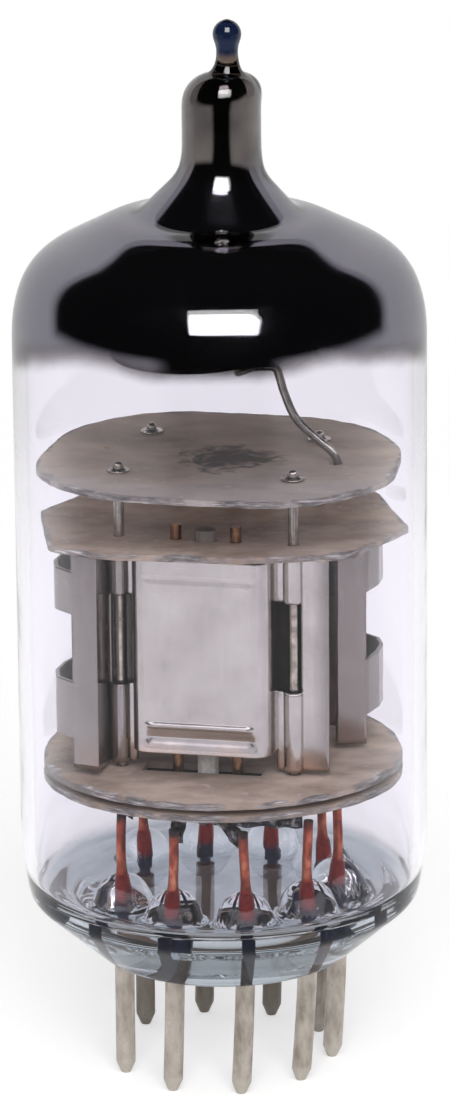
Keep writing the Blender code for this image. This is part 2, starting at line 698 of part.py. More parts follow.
def mica_sheets():
    """Two sheets below the anodes, a spacer on them and a shield above, each a punched sheet."""
    disc = circle((0.0, 0.0), INNER_RADIUS - BASE_MICA_INSET, BULB_FACETS)
    post_holes = round_holes(four(POST_SPACING, TRIODE_OFFSET), POST_RADIUS)
    wire_places = [(GETTER_HOLE, GETTER_HOLE_BACK), (-GETTER_HOLE, -GETTER_HOLE_BACK)]
    wire_holes = round_holes(wire_places, GETTER_WIRE_RADIUS)
    mica("mica_base_upper", disc, post_holes + vents(), BASE_MICA_TOP)
    mica("mica_base_lower", disc, electrode_holes(), STACK_BOTTOM + MICA_THICKNESS)
    mica("mica_spacer", spacer_outline(), electrode_holes(), SPACER_MICA_TOP)
    mica("mica_shield", shield_outline(), post_holes + wire_holes, SHIELD_MICA_TOP)


# Anodes


def zoned(points, zone):
    """Marks each point of a sheet's plan with the zone of the stretch that starts there."""
    return [(point, zone) for point in points]


def half_tube(u):
    """Plan points of the sheet where it is pressed over a post, from right to left."""
    return arc((u, SHEET_OFFSET), TUBE_RADIUS, 0.0, math.pi, ARC_STEPS)


def box_plan():
    """The box bulge, right to left: two sides, and a front with rounded corners and room for the ribs."""
    foot = BOX_HALF_WIDTH + BOX_SPLAY
    return rounded([
        ((foot, SHEET_OFFSET), 0.0), ((BOX_HALF_WIDTH, BOX_HALF_DEPTH), BOX_CORNER),
        ((RIB_HALF_LENGTH, BOX_HALF_DEPTH), 0.0), ((-RIB_HALF_LENGTH, BOX_HALF_DEPTH), 0.0),
        ((-BOX_HALF_WIDTH, BOX_HALF_DEPTH), BOX_CORNER), ((-foot, SHEET_OFFSET), 0.0),
    ], MICA_ARC_STEPS)


def middle_plan(valley):
    """From the right post across the box to the left post, `valley` naming the zone beside each post."""
    right = half_tube(POST_SPACING)
    box = box_plan()
    left = half_tube(-POST_SPACING)
    return [
        *zoned(right[:-1], "plain"), (right[-1], valley), *zoned(box[:-1], "box"), (box[-1], valley),
        *zoned(left, "plain"),
    ]


def outer_sheet_plan():
    """Plan of an anode's outer half: flat wing, post, box, post, and the folded cooling fin."""
    wing = (POST_SPACING + OUTER_WING_WIDTH, SHEET_OFFSET)
    plate, straps, end = (
        [(-POST_SPACING - FIN_ROOT - share * FIN_REACH, outward) for share, outward in bends]
        for bends in (FIN_PLATE_BENDS, FIN_STRAP_BENDS, FIN_END_BENDS)
    )
    return [
        (wing, "plain"), *middle_plan("window"), *zoned(plate, "plain"), *zoned(straps, "strap"),
        *zoned(end, "plain"),
    ]


def inner_sheet_plan():
    """Plan of an anode's inner half: a shorter sheet that closes the box from behind."""
    wing = (POST_SPACING + INNER_WING_WIDTH, SHEET_OFFSET)
    edge = (-POST_SPACING - TUBE_RADIUS - INNER_EDGE_WIDTH, SHEET_OFFSET)
    plan = [(wing, "plain"), *middle_plan("plain"), (edge, "plain")]
    return [((u, -w), zone) for (u, w), zone in plan]


def is_metal(zone, height):
    """Whether the sheet has metal in a zone, at a height above the bottom of the box."""
    if zone == "strap":
        return any(low < height < high for low, high in FIN_STRAPS)
    if zone == "window":
        return not WINDOW_BOTTOM < height < WINDOW_TOP
    return zone == "plain" or height > 0.0


def sheet_rows():
    """Heights of the rows of a pressed sheet: every edge of a window, strap or rib."""
    half = RIB_HEIGHT / 2.0
    rows = {-WING_DROP, 0.0, WINDOW_BOTTOM, WINDOW_TOP, ANODE_HEIGHT}
    for level in RIB_LEVELS:
        rows |= {level - half, level, level + half}
    for low, high in FIN_STRAPS:
        rows |= {low, high}
    return sorted(rows)


def rib_at(u, w, height, pressed):
    """How far outward a point of the sheet moves: inward along the ribs of the box's front."""
    if pressed and height in RIB_LEVELS and abs(u) <= RIB_HALF_LENGTH and w >= BOX_HALF_DEPTH:
        return -RIB_DEPTH
    return 0.0


def pressed_sheet(name, plan, pressed, turn):
    """Raises a sheet from its plan, keeps the cells that are metal, presses the ribs and thickens it."""
    bm = bmesh.new()
    rows = sheet_rows()
    columns = []
    for (u, w), _ in plan:
        outward = [TRIODE_OFFSET + w + rib_at(u, w, row, pressed) for row in rows]
        columns.append([bm.verts.new((u, -out, BOX_BOTTOM + row)) for out, row in zip(outward, rows)])
    for (_, zone), near, far in zip(plan, columns, columns[1:]):
        for j in range(len(rows) - 1):
            if is_metal(zone, (rows[j] + rows[j + 1]) / 2.0):
                bm.faces.new((near[j], far[j], far[j + 1], near[j + 1]))
    loose = [vert for vert in bm.verts if not vert.link_faces]
    bmesh.ops.delete(bm, geom=loose, context="VERTS")
    item = place(name, mesh_of(bm, name), "nickel-plated iron sheet")
    thicken = item.modifiers.new("Thickness", "SOLIDIFY")
    thicken.thickness = SHEET
    thicken.offset = 0.0
    thicken.use_even_offset = True
    item.matrix_world = turned_frame() @ Matrix.Rotation(turn, 4, "Z")


def anodes():
    """Two pressed halves to each triode; the rear triode is the front one turned half round."""
    for side, turn in (("front", 0.0), ("rear", math.pi)):
        pressed_sheet(f"anode_{side}_outer", outer_sheet_plan(), True, turn)
        pressed_sheet(f"anode_{side}_inner", inner_sheet_plan(), False, turn)


# Posts, eyelets, grids, cathodes and heaters


def posts():
    """Four support rods through all the sheets, two with a long tail that meets a lead."""
    top = SHIELD_MICA_TOP + EYELET_LIFT + EYELET_HEIGHT + POST_HEAD
    corners = {"front_left": (-1, -1), "front_right": (1, -1), "rear_right": (1, 1), "rear_left": (-1, 1)}
    for corner, (across, deep) in corners.items():
        tail = POST_TAIL if across == deep else POST_STUB
        spot = Matrix.Translation((across * POST_SPACING, deep * TRIODE_OFFSET, 0.0))
        post = rod(f"post_{corner}", POST_RADIUS, STACK_BOTTOM - tail, top, ROD_FACETS, "nickel wire")
        post.matrix_world = turned_frame() @ spot
        eyelet(f"eyelet_{corner}", turned_frame() @ spot)


def eyelet(name, matrix):
    """A small collar round a post, on top of the shield."""
    bore = POST_RADIUS + HOLE_CLEARANCE
    low = SHIELD_MICA_TOP + EYELET_LIFT
    high = low + EYELET_HEIGHT
    outline = [
        (bore, low), (EYELET_RADIUS, low), (EYELET_RADIUS, high - EYELET_BEVEL),
        (EYELET_RADIUS - EYELET_BEVEL, high), (bore, high),
    ]
    item = turned(name, outline, EYELET_FACETS, "nickel wire", ring=True)
    item.matrix_world = matrix


def grids():
    """Two rods with flat turns of wire wound round both, on each side of the cathode."""
    top = SPACER_MICA_TOP + GRID_HEAD
    for side, v in (("front", -TRIODE_OFFSET), ("rear", TRIODE_OFFSET)):
        rods = []
        for u in (-GRID_SPACING, GRID_SPACING):
            rods.append(rod("rod", GRID_ROD_RADIUS, GRID_BOTTOM, top, ROD_FACETS, "nickel wire"))
            rods[-1].location = (u, v, 0.0)
        bpy.context.view_layer.update()
        grid = joined(f"grid_{side}", rods, "nickel wire")
        grid.matrix_world = turned_frame()
        cut(grid, grid_winding(f"cutter_winding_{side}", v), "UNION")


def grid_loop():
    """Plan of one turn, as (spot, outward) pairs: round both rods and bowed out past the cathode."""
    hub = Vector((GRID_SPACING, 0.0, 0.0))
    reach = GRID_ROD_RADIUS + GRID_WIRE_RADIUS / 2.0
    half = []
    for angle in (-math.pi / 2.0, 0.0, math.pi / 2.0):
        out = Vector((math.cos(angle), math.sin(angle), 0.0))
        half.append((hub + out * reach, out))
    bow = Vector((0.0, 1.0, 0.0))
    half.append((bow * (CATHODE_RADIUS + GRID_CLEARANCE), bow))
    return half + [(-spot, -out) for spot, out in half]


def grid_winding(name, v):
    """Separate flat turns, each a closed loop of square wire that grips both rods."""
    bm = bmesh.new()
    pitch = (WINDOW_TOP - WINDOW_BOTTOM) / (GRID_TURNS - 1)
    lift = Vector((0.0, 0.0, GRID_WIRE_RADIUS))
    for turn in range(GRID_TURNS):
        centre = Vector((0.0, v, BOX_BOTTOM + WINDOW_BOTTOM + turn * pitch))
        rings = []
        for spot, direction in grid_loop():
            out = direction * GRID_WIRE_RADIUS
            corners = (out + lift, out - lift, -out - lift, -out + lift)
            rings.append([bm.verts.new(centre + spot + corner) for corner in corners])
        for near, far in zip(rings, rings[1:] + rings[:1]):
            for i in range(4):
                bm.faces.new((near[i], near[(i + 1) % 4], far[(i + 1) % 4], far[i]))
    item = place(name, mesh_of(bm, name), "nickel wire")
    item.matrix_world = turned_frame()
    return item


def cathodes_and_heaters():
    """A coated nickel sleeve in the middle of each grid, with a folded heater wire inside it."""
    top = SPACER_MICA_TOP + CATHODE_HEAD
    inner = CATHODE_RADIUS - CATHODE_WALL
    fold = top - HEATER_INSET
    leg = HEATER_LEG
    sleeve = [(inner, CATHODE_BOTTOM), (CATHODE_RADIUS, CATHODE_BOTTOM), (CATHODE_RADIUS, top), (inner, top)]
    for side, v in (("front", -TRIODE_OFFSET), ("rear", TRIODE_OFFSET)):
        cathode = turned(f"cathode_{side}", sleeve, ROD_FACETS, "oxide-coated nickel", ring=True)
        cathode.matrix_world = turned_frame() @ Matrix.Translation((0.0, v, 0.0))
        bend = [(u, v, z) for u, z in arc((0.0, fold - leg), leg, math.pi, 0.0, MICA_ARC_STEPS)]
        points = [(-leg, v, HEATER_BOTTOM), *bend, (leg, v, HEATER_BOTTOM)]
        heater = wire(f"heater_{side}", points, HEATER_WIRE_RADIUS, "alumina-coated tungsten")
        heater.matrix_world = turned_frame()


# Getter


def getter_ring():
    """A channel bent into a ring, open on top, that held the getter metal."""
    inner = GETTER_RADIUS - GETTER_WIDTH / 2.0
    outer = GETTER_RADIUS + GETTER_WIDTH / 2.0
    floor = GETTER_Z + GETTER_SHEET
    rim = GETTER_Z + GETTER_DEPTH
    outline = [
        (inner, GETTER_Z), (outer, GETTER_Z), (outer, rim), (outer - GETTER_SHEET, rim),
        (outer - GETTER_SHEET, floor), (inner + GETTER_SHEET, floor),
        (inner + GETTER_SHEET, rim), (inner, rim),
    ]
    item = turned("getter_ring", outline, RING_FACETS, "nickel wire", ring=True)
    item.location.x = GETTER_SHIFT


def getter_wire():
    """The bent wire that stands in the shield and carries the ring along its underside."""
    foot = turned_frame() @ Vector((GETTER_HOLE, GETTER_HOLE_BACK, 0.0))
    below = SHIELD_MICA_TOP - MICA_THICKNESS - GETTER_WIRE_BELOW
    under = GETTER_Z - GETTER_WIRE_RADIUS - GETTER_GAP
    route = [(foot.x, foot.y, below), (foot.x, foot.y, SHIELD_MICA_TOP + GETTER_WIRE_STRAIGHT)]
    rise = GETTER_Z - SHIELD_MICA_TOP
    route += [(x, y, SHIELD_MICA_TOP + share * rise) for x, y, share in GETTER_WIRE_BENDS]
    for angle, drop in GETTER_WIRE_REST:
        across = GETTER_SHIFT + GETTER_RADIUS * math.cos(angle)
        route.append((across, GETTER_RADIUS * math.sin(angle), under - drop))
    wire("getter_wire", smooth_path(route, WIRE_STEPS), GETTER_WIRE_RADIUS, "nickel wire")


def build():
    clear_scene()
    glass_bulb()
    button_stem()
    pins()
    leads()
    mica_sheets()
    anodes()
    posts()
    grids()
    cathodes_and_heaters()
    post_clips()
    electrode_ties()
    heater_ribbons()
    getter_ring()
    getter_wire()


build()
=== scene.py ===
# %% [markdown]
# # A miniature vacuum tube
# The object is a twin triode of the miniature nine-pin family. A glass bottle about as wide as a
# thumb is melted onto a pressed glass button, and nine stiff wires go through that button. Inside
# stand two anodes of bright sheet metal, held between thin sheets of mica. A ring near the top was
# heated once to throw a film of barium onto the dome, which is why the dome looks like a mirror.
#
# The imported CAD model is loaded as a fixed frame. It says where every piece is, so each visible
# piece below is built from the frame's boxes, in metres, with +Z up and the viewer's side at -Y.

# %% Load the fixed frame
import json
import math

import bpy
import numpy as np
from mathutils import Matrix, Vector
from mathutils.geometry import delaunay_2d_cdt

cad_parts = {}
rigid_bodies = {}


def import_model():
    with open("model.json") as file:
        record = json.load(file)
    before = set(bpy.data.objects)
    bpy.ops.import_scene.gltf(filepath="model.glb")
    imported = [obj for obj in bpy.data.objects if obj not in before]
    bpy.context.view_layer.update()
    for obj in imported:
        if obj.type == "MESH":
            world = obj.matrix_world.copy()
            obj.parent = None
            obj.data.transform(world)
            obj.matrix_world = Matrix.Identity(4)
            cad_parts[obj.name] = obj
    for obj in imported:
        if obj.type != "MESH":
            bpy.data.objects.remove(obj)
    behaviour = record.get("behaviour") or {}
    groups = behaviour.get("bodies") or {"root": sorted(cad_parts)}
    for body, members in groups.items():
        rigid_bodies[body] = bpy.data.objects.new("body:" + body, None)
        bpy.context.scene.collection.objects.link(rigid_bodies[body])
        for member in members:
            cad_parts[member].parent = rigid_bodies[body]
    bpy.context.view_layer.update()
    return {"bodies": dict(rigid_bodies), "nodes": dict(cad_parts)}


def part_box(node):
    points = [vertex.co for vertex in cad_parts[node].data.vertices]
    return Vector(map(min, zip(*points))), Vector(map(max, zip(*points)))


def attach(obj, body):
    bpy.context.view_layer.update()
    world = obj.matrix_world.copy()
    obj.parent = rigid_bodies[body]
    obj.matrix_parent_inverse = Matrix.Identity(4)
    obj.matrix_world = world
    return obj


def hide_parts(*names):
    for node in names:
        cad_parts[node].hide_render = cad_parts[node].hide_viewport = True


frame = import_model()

MM = 0.001

# %% [markdown]
# ## The camera
# The photograph looks slightly down on the tube, from far away with a long lens, so the two sides
# of the bulb are almost parallel. The place, tilt and lens below were fitted to the nine pins,
# whose circle has a standard size. The picture's long side is its height, so the lens is given for
# a 36 mm sensor that is fitted vertically.

# %% Place the camera
CAMERA_TARGET = Vector((0.188, 0.0, 27.729)) * MM
CAMERA_DISTANCE = 320.0 * MM
CAMERA_ELEVATION = math.radians(16.772)
CAMERA_ROLL = math.radians(-0.5202)
CAMERA_LENS = 202.9

camera_data = bpy.data.cameras.new("camera")
camera_data.sensor_fit = "VERTICAL"
camera_data.sensor_width = 36.0
camera_data.sensor_height = 36.0
camera_data.lens = CAMERA_LENS
camera = bpy.data.objects.new("camera", camera_data)
bpy.context.scene.collection.objects.link(camera)
bpy.context.scene.camera = camera
back = Vector((0.0, -math.cos(CAMERA_ELEVATION), math.sin(CAMERA_ELEVATION)))
tilt = Matrix.Rotation(math.pi / 2.0 - CAMERA_ELEVATION, 4, "X")
camera.matrix_world = (
    Matrix.Translation(CAMERA_TARGET + back * CAMERA_DISTANCE) @ tilt @ Matrix.Rotation(CAMERA_ROLL, 4, "Z")
)
print("camera at", [round(value / MM, 1) for value in camera.matrix_world.translation], "mm")

# %% [markdown]
# ## Small helpers for materials
# Colours are written as the sRGB codes that a picture editor shows. Blender's shaders count light
# in linear steps, so one function turns a code into linear numbers. A second one adds a shader
# node: its settings are attributes, its inputs are either plain values or links from other nodes,
# and the stops of a colour ramp are pairs of a position and a colour or a grey level. A third one
# links finished nodes to the sockets of a shader.

# %% Colour and node helpers


def colour(code):
    """Linear RGBA of an sRGB hex code: c / 12.92 below 0.04045, else ((c + 0.055) / 1.055) ^ 2.4."""
    values = np.array([int(code[i:i + 2], 16) for i in (0, 2, 4)]) / 255.0
    linear = np.where(values <= 0.04045, values / 12.92, ((values + 0.055) / 1.055) ** 2.4)
    return (*linear.tolist(), 1.0)


def result_of(node):
    """The output that a node shows, which is the first enabled one."""
    return next(socket for socket in node.outputs if socket.enabled)


def add(tree, kind, inputs=None, stops=(), **settings):
    """One node of a kind, with its settings, the stops of its ramp, and its inputs' values or links."""
    made = tree.nodes.new("ShaderNode" + kind)
    for key, value in settings.items():
        setattr(made, key, value)
    for key, value in (inputs or {}).items():
        if isinstance(value, bpy.types.Node):
            value = result_of(value)
        if isinstance(value, bpy.types.NodeSocket):
            tree.links.new(value, made.inputs[key])
        else:
            made.inputs[key].default_value = value
    for number, (position, shade) in enumerate(stops):
        elements = made.color_ramp.elements
        element = elements[number] if number < len(elements) else elements.new(position)
        element.position = position
        element.color = colour(shade) if isinstance(shade, str) else (shade, shade, shade, 1.0)
    return made


def plug(shader, **sources):
    """Links nodes to the shader's sockets, named by the keywords with an underscore for each space."""
    for key, node in sources.items():
        shader.id_data.links.new(result_of(node), shader.inputs[key.replace("_", " ")])


# %% [markdown]
# A finish starts as an empty node tree with a Principled shader, and with the Object coordinates
# that place its patterns. Those are the tube's own coordinates in metres, so a pattern of a known
# size never slides. The scale of a noise is one over the size of its blobs.

# %% Starting a finish


def finish(name, **sockets):
    """A new material with a Principled shader, whose sockets come from the keywords."""
    material = bpy.data.materials.new(name)
    material.use_nodes = True
    tree = material.node_tree
    tree.nodes.clear()
    shader = add(tree, "BsdfPrincipled", {key.replace("_", " "): value for key, value in sockets.items()})
    output = add(tree, "OutputMaterial", {"Surface": shader})
    spot = add(tree, "TexCoord").outputs["Object"]
    return material, tree, shader, output, spot


# %% [markdown]
# ## Helpers for surfaces
# Every new piece is an array of points and arrays of faces, worked out with numpy. Most pieces are
# one of two kinds. A turned piece carries a profile round an axis, like glass on a lathe. A swept
# piece carries a circle along a path, like wire. The face numbers of a grid follow from its rows
# and columns, so no loop runs over the points.

# %% Turned and swept surfaces


def cells(rows, columns, closed=True):
    """Corner numbers of each cell of a rows x columns grid of points, joined up across if closed."""
    across = columns if closed else columns - 1
    row, column = np.meshgrid(np.arange(rows - 1), np.arange(across), indexing="ij")
    near = row * columns + column
    far = row * columns + (column + 1) % columns
    return np.stack((near, far, far + columns, near + columns), axis=-1).reshape(-1, 4)


def fan(centre, ring, flip):
    """Triangles between a centre and a ring of point numbers, turned over if flip is set."""
    after = np.roll(ring, -1)
    pair = (after, ring) if flip else (ring, after)
    return np.stack((np.full(len(ring), centre), *pair), axis=-1)


def turned(profile, sides, centre=(0.0, 0.0)):
    """point(i, a) = centre + (r_i cos a, r_i sin a, z_i), with a pole where the profile meets the axis."""
    profile = np.asarray(profile, float)
    angle = np.linspace(0.0, 2.0 * math.pi, sides, endpoint=False)
    low_pole, high_pole = profile[0, 0] <= 0.0, profile[-1, 0] <= 0.0
    body = profile[int(low_pole):len(profile) - int(high_pole)]
    x = centre[0] + np.outer(body[:, 0], np.cos(angle))
    y = centre[1] + np.outer(body[:, 0], np.sin(angle))
    z = np.repeat(body[:, 1:2], sides, axis=1)
    points = np.stack((x, y, z), axis=-1).reshape(-1, 3)
    faces = [cells(len(body), sides)]
    for present, row, ring_start, flip in (
            (low_pole, profile[0], 0, True), (high_pole, profile[-1], (len(body) - 1) * sides, False)):
        if present:
            faces.append(fan(len(points), ring_start + np.arange(sides), flip))
            points = np.vstack((points, (centre[0], centre[1], row[1])))
    return points, faces


def swept(path, radius, sides, reference=(0.0, 0.0, 1.0)):
    """point(i, a) = path_i + r_i (cos a side_i + sin a up_i), side and up being square to the path."""
    path = np.asarray(path, float)
    radius = np.broadcast_to(np.asarray(radius, float), len(path))[:, None, None]
    tangent = np.gradient(path, axis=0)
    tangent /= np.linalg.norm(tangent, axis=1, keepdims=True)
    side = np.cross(tangent, reference)
    side /= np.linalg.norm(side, axis=1, keepdims=True)
    up = np.cross(tangent, side)
    angle = np.linspace(0.0, 2.0 * math.pi, sides, endpoint=False)[None, :, None]
    rings = path[:, None] + radius * (np.cos(angle) * side[:, None] + np.sin(angle) * up[:, None])
    points = np.vstack((rings.reshape(-1, 3), path[:1], path[-1:]))
    last = (len(path) - 1) * sides
    faces = [
        cells(len(path), sides),
        fan(len(points) - 2, np.arange(sides), True),
        fan(len(points) - 1, last + np.arange(sides), False),
    ]
    return points, faces


def joined(*parts):
    """Several (points, faces) parts as one, each part's face numbers moved past the points before it."""
    points, faces, start = [], [], 0
    for part_points, part_faces in parts:
        points.append(part_points)
        faces += [block + start for block in part_faces]
        start += len(part_points)
    return np.vstack(points), faces


def reversed_faces(part):
    """The same part with its faces pointing the other way."""
    points, faces = part
    return points, [block[:, ::-1] for block in faces]


# %% [markdown]
# Outlines are written as a few corners, each with a radius, the way a draughtsman would. They are
# then read off at even steps. A wire's route is a few points with a smooth curve through them.
# The inner structure stands turned by 12 degrees against the pins, so one function turns points
# from its own frame (u to the right, v to the back) to the tube's.

# %% Outlines, routes and the turned frame
INNER_TURN = math.radians(-12.0)


def unit(vector):
    return vector / np.linalg.norm(vector)


def rounded(corners, steps=14):
    """An outline through (across, up, radius) corners, each radius an arc that meets both sides."""
    table = np.array(corners, float)
    out = []
    for i, (across, up, radius) in enumerate(table):
        here = np.array((across, up))
        if radius <= 0.0:
            out.append(here[None])
            continue
        before = unit(table[i - 1, :2] - here)
        after = unit(table[(i + 1) % len(table), :2] - here)
        half = math.acos(before @ after) / 2.0
        centre = here + unit(before + after) * radius / math.sin(half)
        start, end = (here + side * radius / math.tan(half) - centre for side in (before, after))
        first = math.atan2(start[1], start[0])
        sweep = (math.atan2(end[1], end[0]) - first + math.pi) % (2.0 * math.pi) - math.pi
        angle = first + sweep * np.linspace(0.0, 1.0, steps + 1)
        out.append(centre + radius * np.stack((np.cos(angle), np.sin(angle)), axis=1))
    return np.vstack(out)


def evenly(points, spacing):
    """The same line read off at points a constant distance apart."""
    points = np.asarray(points, float)
    step = np.linalg.norm(np.diff(points, axis=0), axis=1)
    along = np.concatenate(([0.0], np.cumsum(step)))
    count = max(2, int(round(along[-1] / spacing)) + 1)
    at = np.linspace(0.0, along[-1], count)
    return np.stack([np.interp(at, along, column) for column in points.T], axis=1)


def eased(points, rounds):
    """Softens a line: each inner point becomes half of itself plus a quarter of both its neighbours."""
    points = np.array(points, float)
    for _ in range(rounds):
        points[1:-1] = (points[:-2] + 2.0 * points[1:-1] + points[2:]) / 4.0
    return points


def route(points, spacing):
    """A smooth curve through points: Catmull-Rom weights of the four nearest, read off evenly."""
    points = np.asarray(points, float)
    ends = np.vstack((2.0 * points[0] - points[1], points, 2.0 * points[-1] - points[-2]))
    at = np.linspace(0.0, len(points) - 1.0, 24 * (len(points) - 1) + 1)[:, None]
    first = np.minimum(at.astype(int), len(points) - 2)
    t = at - first
    a, b, c, d = (ends[first[:, 0] + i] for i in range(4))
    straight = (c - a) * t
    squared = (2.0 * a - 5.0 * b + 4.0 * c - d) * t ** 2
    cubed = (3.0 * b - a - 3.0 * c + d) * t ** 3
    return evenly(b + (straight + squared + cubed) / 2.0, spacing)


def from_inner(points):
    """Turns (u, v, z) of the inner structure about the axis into the tube's (x, y, z)."""
    u, v, z = np.asarray(points, float).T
    cos, sin = math.cos(INNER_TURN), math.sin(INNER_TURN)
    return np.stack((u * cos - v * sin, u * sin + v * cos, z), axis=1)


# %% [markdown]
# A part becomes a piece when its points go into a mesh and the piece is tied to the frame. It rides
# on the tube's only body, takes the finish it is given, and hides the CAD nodes it stands for. Edges
# sharper than a set angle stay crisp, and the rest is shaded smooth.

# %% Turning a part into a piece
body_name = next(iter(frame["bodies"]))


def low(node):
    """The lowest corner of a CAD node, as an array."""
    return np.array(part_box(node)[0])


def high(node):
    """The highest corner of a CAD node, as an array."""
    return np.array(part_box(node)[1])


def piece(name, part, material, stands_for=(), sharp=40.0):
    """Makes a named mesh object of a part, ties it to the frame and returns it."""
    points, faces = part
    mesh = bpy.data.meshes.new(name)
    mesh.from_pydata(points.tolist(), [], [face for block in faces for face in block.tolist()])
    mesh.shade_smooth()
    mesh.set_sharp_from_angle(angle=math.radians(sharp))
    mesh.materials.append(material)
    made = bpy.data.objects.new(name, mesh)
    bpy.context.scene.collection.objects.link(made)
    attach(made, body_name)
    if stands_for:
        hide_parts(*stands_for)
    print(name, len(points), "points")
    return made


# %% [markdown]
# ## The studio
# The tube was photographed on a white table in front of a white backdrop, under a dark ceiling with
# one soft lamp. The mirror on the dome shows all of it: grey flanks where it reflects the backdrop,
# black in front where it reflects the ceiling, and one white rectangle, which is the lamp. So the
# world here is plain white for the camera and for rays that only pass through glass, evenly bright
# for the light that falls on the pieces, and a simple studio for rays that bounce off something
# shiny.

# %% The world: backdrop, table and ceiling
SKY_LEVEL = 0.55
CEILING_LEVEL = 0.012
BACKDROP_LEVEL = 0.8
TABLE_LEVEL = 0.8

bpy.context.scene.view_settings.view_transform = "Standard"
world = bpy.data.worlds.new("studio")
bpy.context.scene.world = world
world.use_nodes = True
world.cycles.sampling_method = "NONE"
sky = world.node_tree
sky.nodes.clear()

gaze = add(sky, "TexCoord").outputs["Generated"]
direction = add(sky, "SeparateXYZ", {"Vector": gaze}).outputs
leaning = add(sky, "Math", {0: direction["Z"], 1: -0.5, 2: direction["Y"]}, operation="MULTIPLY_ADD")
behind = add(sky, "MapRange", {"Value": leaning, "From Min": 0.22, "From Max": 0.36},
             interpolation_type="SMOOTHSTEP")
rise = add(sky, "Math", {0: direction["Z"], 1: direction["Y"]}, operation="SUBTRACT")
below_top = add(sky, "MapRange", {"Value": rise, "From Min": 0.04, "From Max": -0.05},
                interpolation_type="SMOOTHSTEP")
backdrop = add(sky, "Math", {0: behind, 1: below_top}, operation="MULTIPLY")
downward = add(sky, "MapRange", {"Value": direction["Z"], "From Min": 0.07, "From Max": -0.1},
               interpolation_type="SMOOTHSTEP")
not_front = add(sky, "MapRange", {"Value": direction["Y"], "From Min": -0.9, "From Max": -0.74},
                interpolation_type="SMOOTHSTEP")
table = add(sky, "Math", {0: downward, 1: not_front}, operation="MULTIPLY")
wall_light = add(sky, "Math", {0: backdrop, 1: BACKDROP_LEVEL}, operation="MULTIPLY")
table_light = add(sky, "Math", {0: table, 1: TABLE_LEVEL}, operation="MULTIPLY")
brighter = add(sky, "Math", {0: wall_light, 1: table_light}, operation="MAXIMUM")
studio = add(sky, "Math", {0: brighter, 1: CEILING_LEVEL}, operation="MAXIMUM")
print("studio: backdrop, table and ceiling")

# %% [markdown]
# The area lamp itself isn't seen through glass, so its picture is painted into the studio: a white
# rectangle, a little wider at its foot, with one corner hidden. A ray's direction is compared with
# the lamp's, which tells how far beside and above the lamp's middle it goes.

# %% The world: the lamp's picture
LAMP_LEVEL = 5.5
LAMP_HALF_SIZE = 0.33
LAMP_TAPER = 0.08
LAMP_CORNER_SLOPE = 0.45
LAMP_CORNER_REACH = 0.37
LAMP_DIRECTION = Vector((0.045, -0.7, 0.71)).normalized()
LAMP_RIGHT = Vector((1.0, 0.0, 0.0)).cross(LAMP_DIRECTION).cross(LAMP_DIRECTION).normalized() * -1.0
LAMP_UP = LAMP_DIRECTION.cross(LAMP_RIGHT)

toward, beside, above = (
    add(sky, "VectorMath", {0: gaze, 1: tuple(axis)}, operation="DOT_PRODUCT").outputs["Value"]
    for axis in (LAMP_DIRECTION, LAMP_RIGHT, LAMP_UP)
)
in_front = add(sky, "Math", {0: toward, 1: 0.1}, operation="MAXIMUM")
beside = add(sky, "Math", {0: beside, 1: in_front}, operation="DIVIDE")
above = add(sky, "Math", {0: above, 1: in_front}, operation="DIVIDE")
widest = add(sky, "Math", {0: above, 1: -LAMP_TAPER, 2: LAMP_HALF_SIZE}, operation="MULTIPLY_ADD")
off_side = add(sky, "Math", {0: beside}, operation="ABSOLUTE")
within_sides = add(sky, "Math", {0: off_side, 1: widest}, operation="LESS_THAN")
off_level = add(sky, "Math", {0: above}, operation="ABSOLUTE")
within_level = add(sky, "Math", {0: off_level, 1: LAMP_HALF_SIZE}, operation="LESS_THAN")
corner = add(sky, "Math", {0: above, 1: LAMP_CORNER_SLOPE, 2: beside}, operation="MULTIPLY_ADD")
uncut = add(sky, "Math", {0: corner, 1: LAMP_CORNER_REACH}, operation="LESS_THAN")
lamp_image = add(sky, "Math", {0: within_sides, 1: within_level}, operation="MULTIPLY")
lamp_image = add(sky, "Math", {0: lamp_image, 1: uncut}, operation="MULTIPLY")
lamp_light = add(sky, "Math", {0: lamp_image, 1: LAMP_LEVEL}, operation="MULTIPLY")
print("lamp picture:", len(sky.nodes), "nodes in the world so far")

# %% [markdown]
# A ray that never went into the glass is a reflection off its outer skin, which the photograph
# shows only faintly in front. Rays that bounce about inside the bulb meet two things more in front.
# Bright and dark strips give the bent sheets and wires their upright stripes, and a bright band at
# the lamp's height gives edges that tilt upwards a bright line.

# %% The world: reflections off the skin and inside the bulb
SKIN_DIMMING = 0.7
GLINT_LEVEL = 2.2
STRIPS = [
    (0.0, 0.5), (0.1, 0.12), (0.2, 0.85), (0.38, 0.95), (0.46, 0.25), (0.54, 0.06), (0.62, 0.6),
    (0.72, 0.95), (0.82, 0.2), (0.92, 0.08), (1.0, 0.6),
]

path = add(sky, "LightPath").outputs
outside = add(sky, "Math", {0: path["Transmission Depth"], 1: 0.5}, operation="LESS_THAN")
ahead = add(sky, "MapRange", {"Value": direction["Y"], "From Min": 0.3, "From Max": -0.3},
            interpolation_type="SMOOTHSTEP")
outside = add(sky, "Math", {0: outside, 1: ahead}, operation="MULTIPLY")
faint = add(sky, "Math", {0: outside, 1: -SKIN_DIMMING, 2: 1.0}, operation="MULTIPLY_ADD")
dimmed = add(sky, "Math", {0: studio, 1: faint}, operation="MULTIPLY")
with_lamp = add(sky, "Math", {0: lamp_light, 1: dimmed}, operation="MAXIMUM")

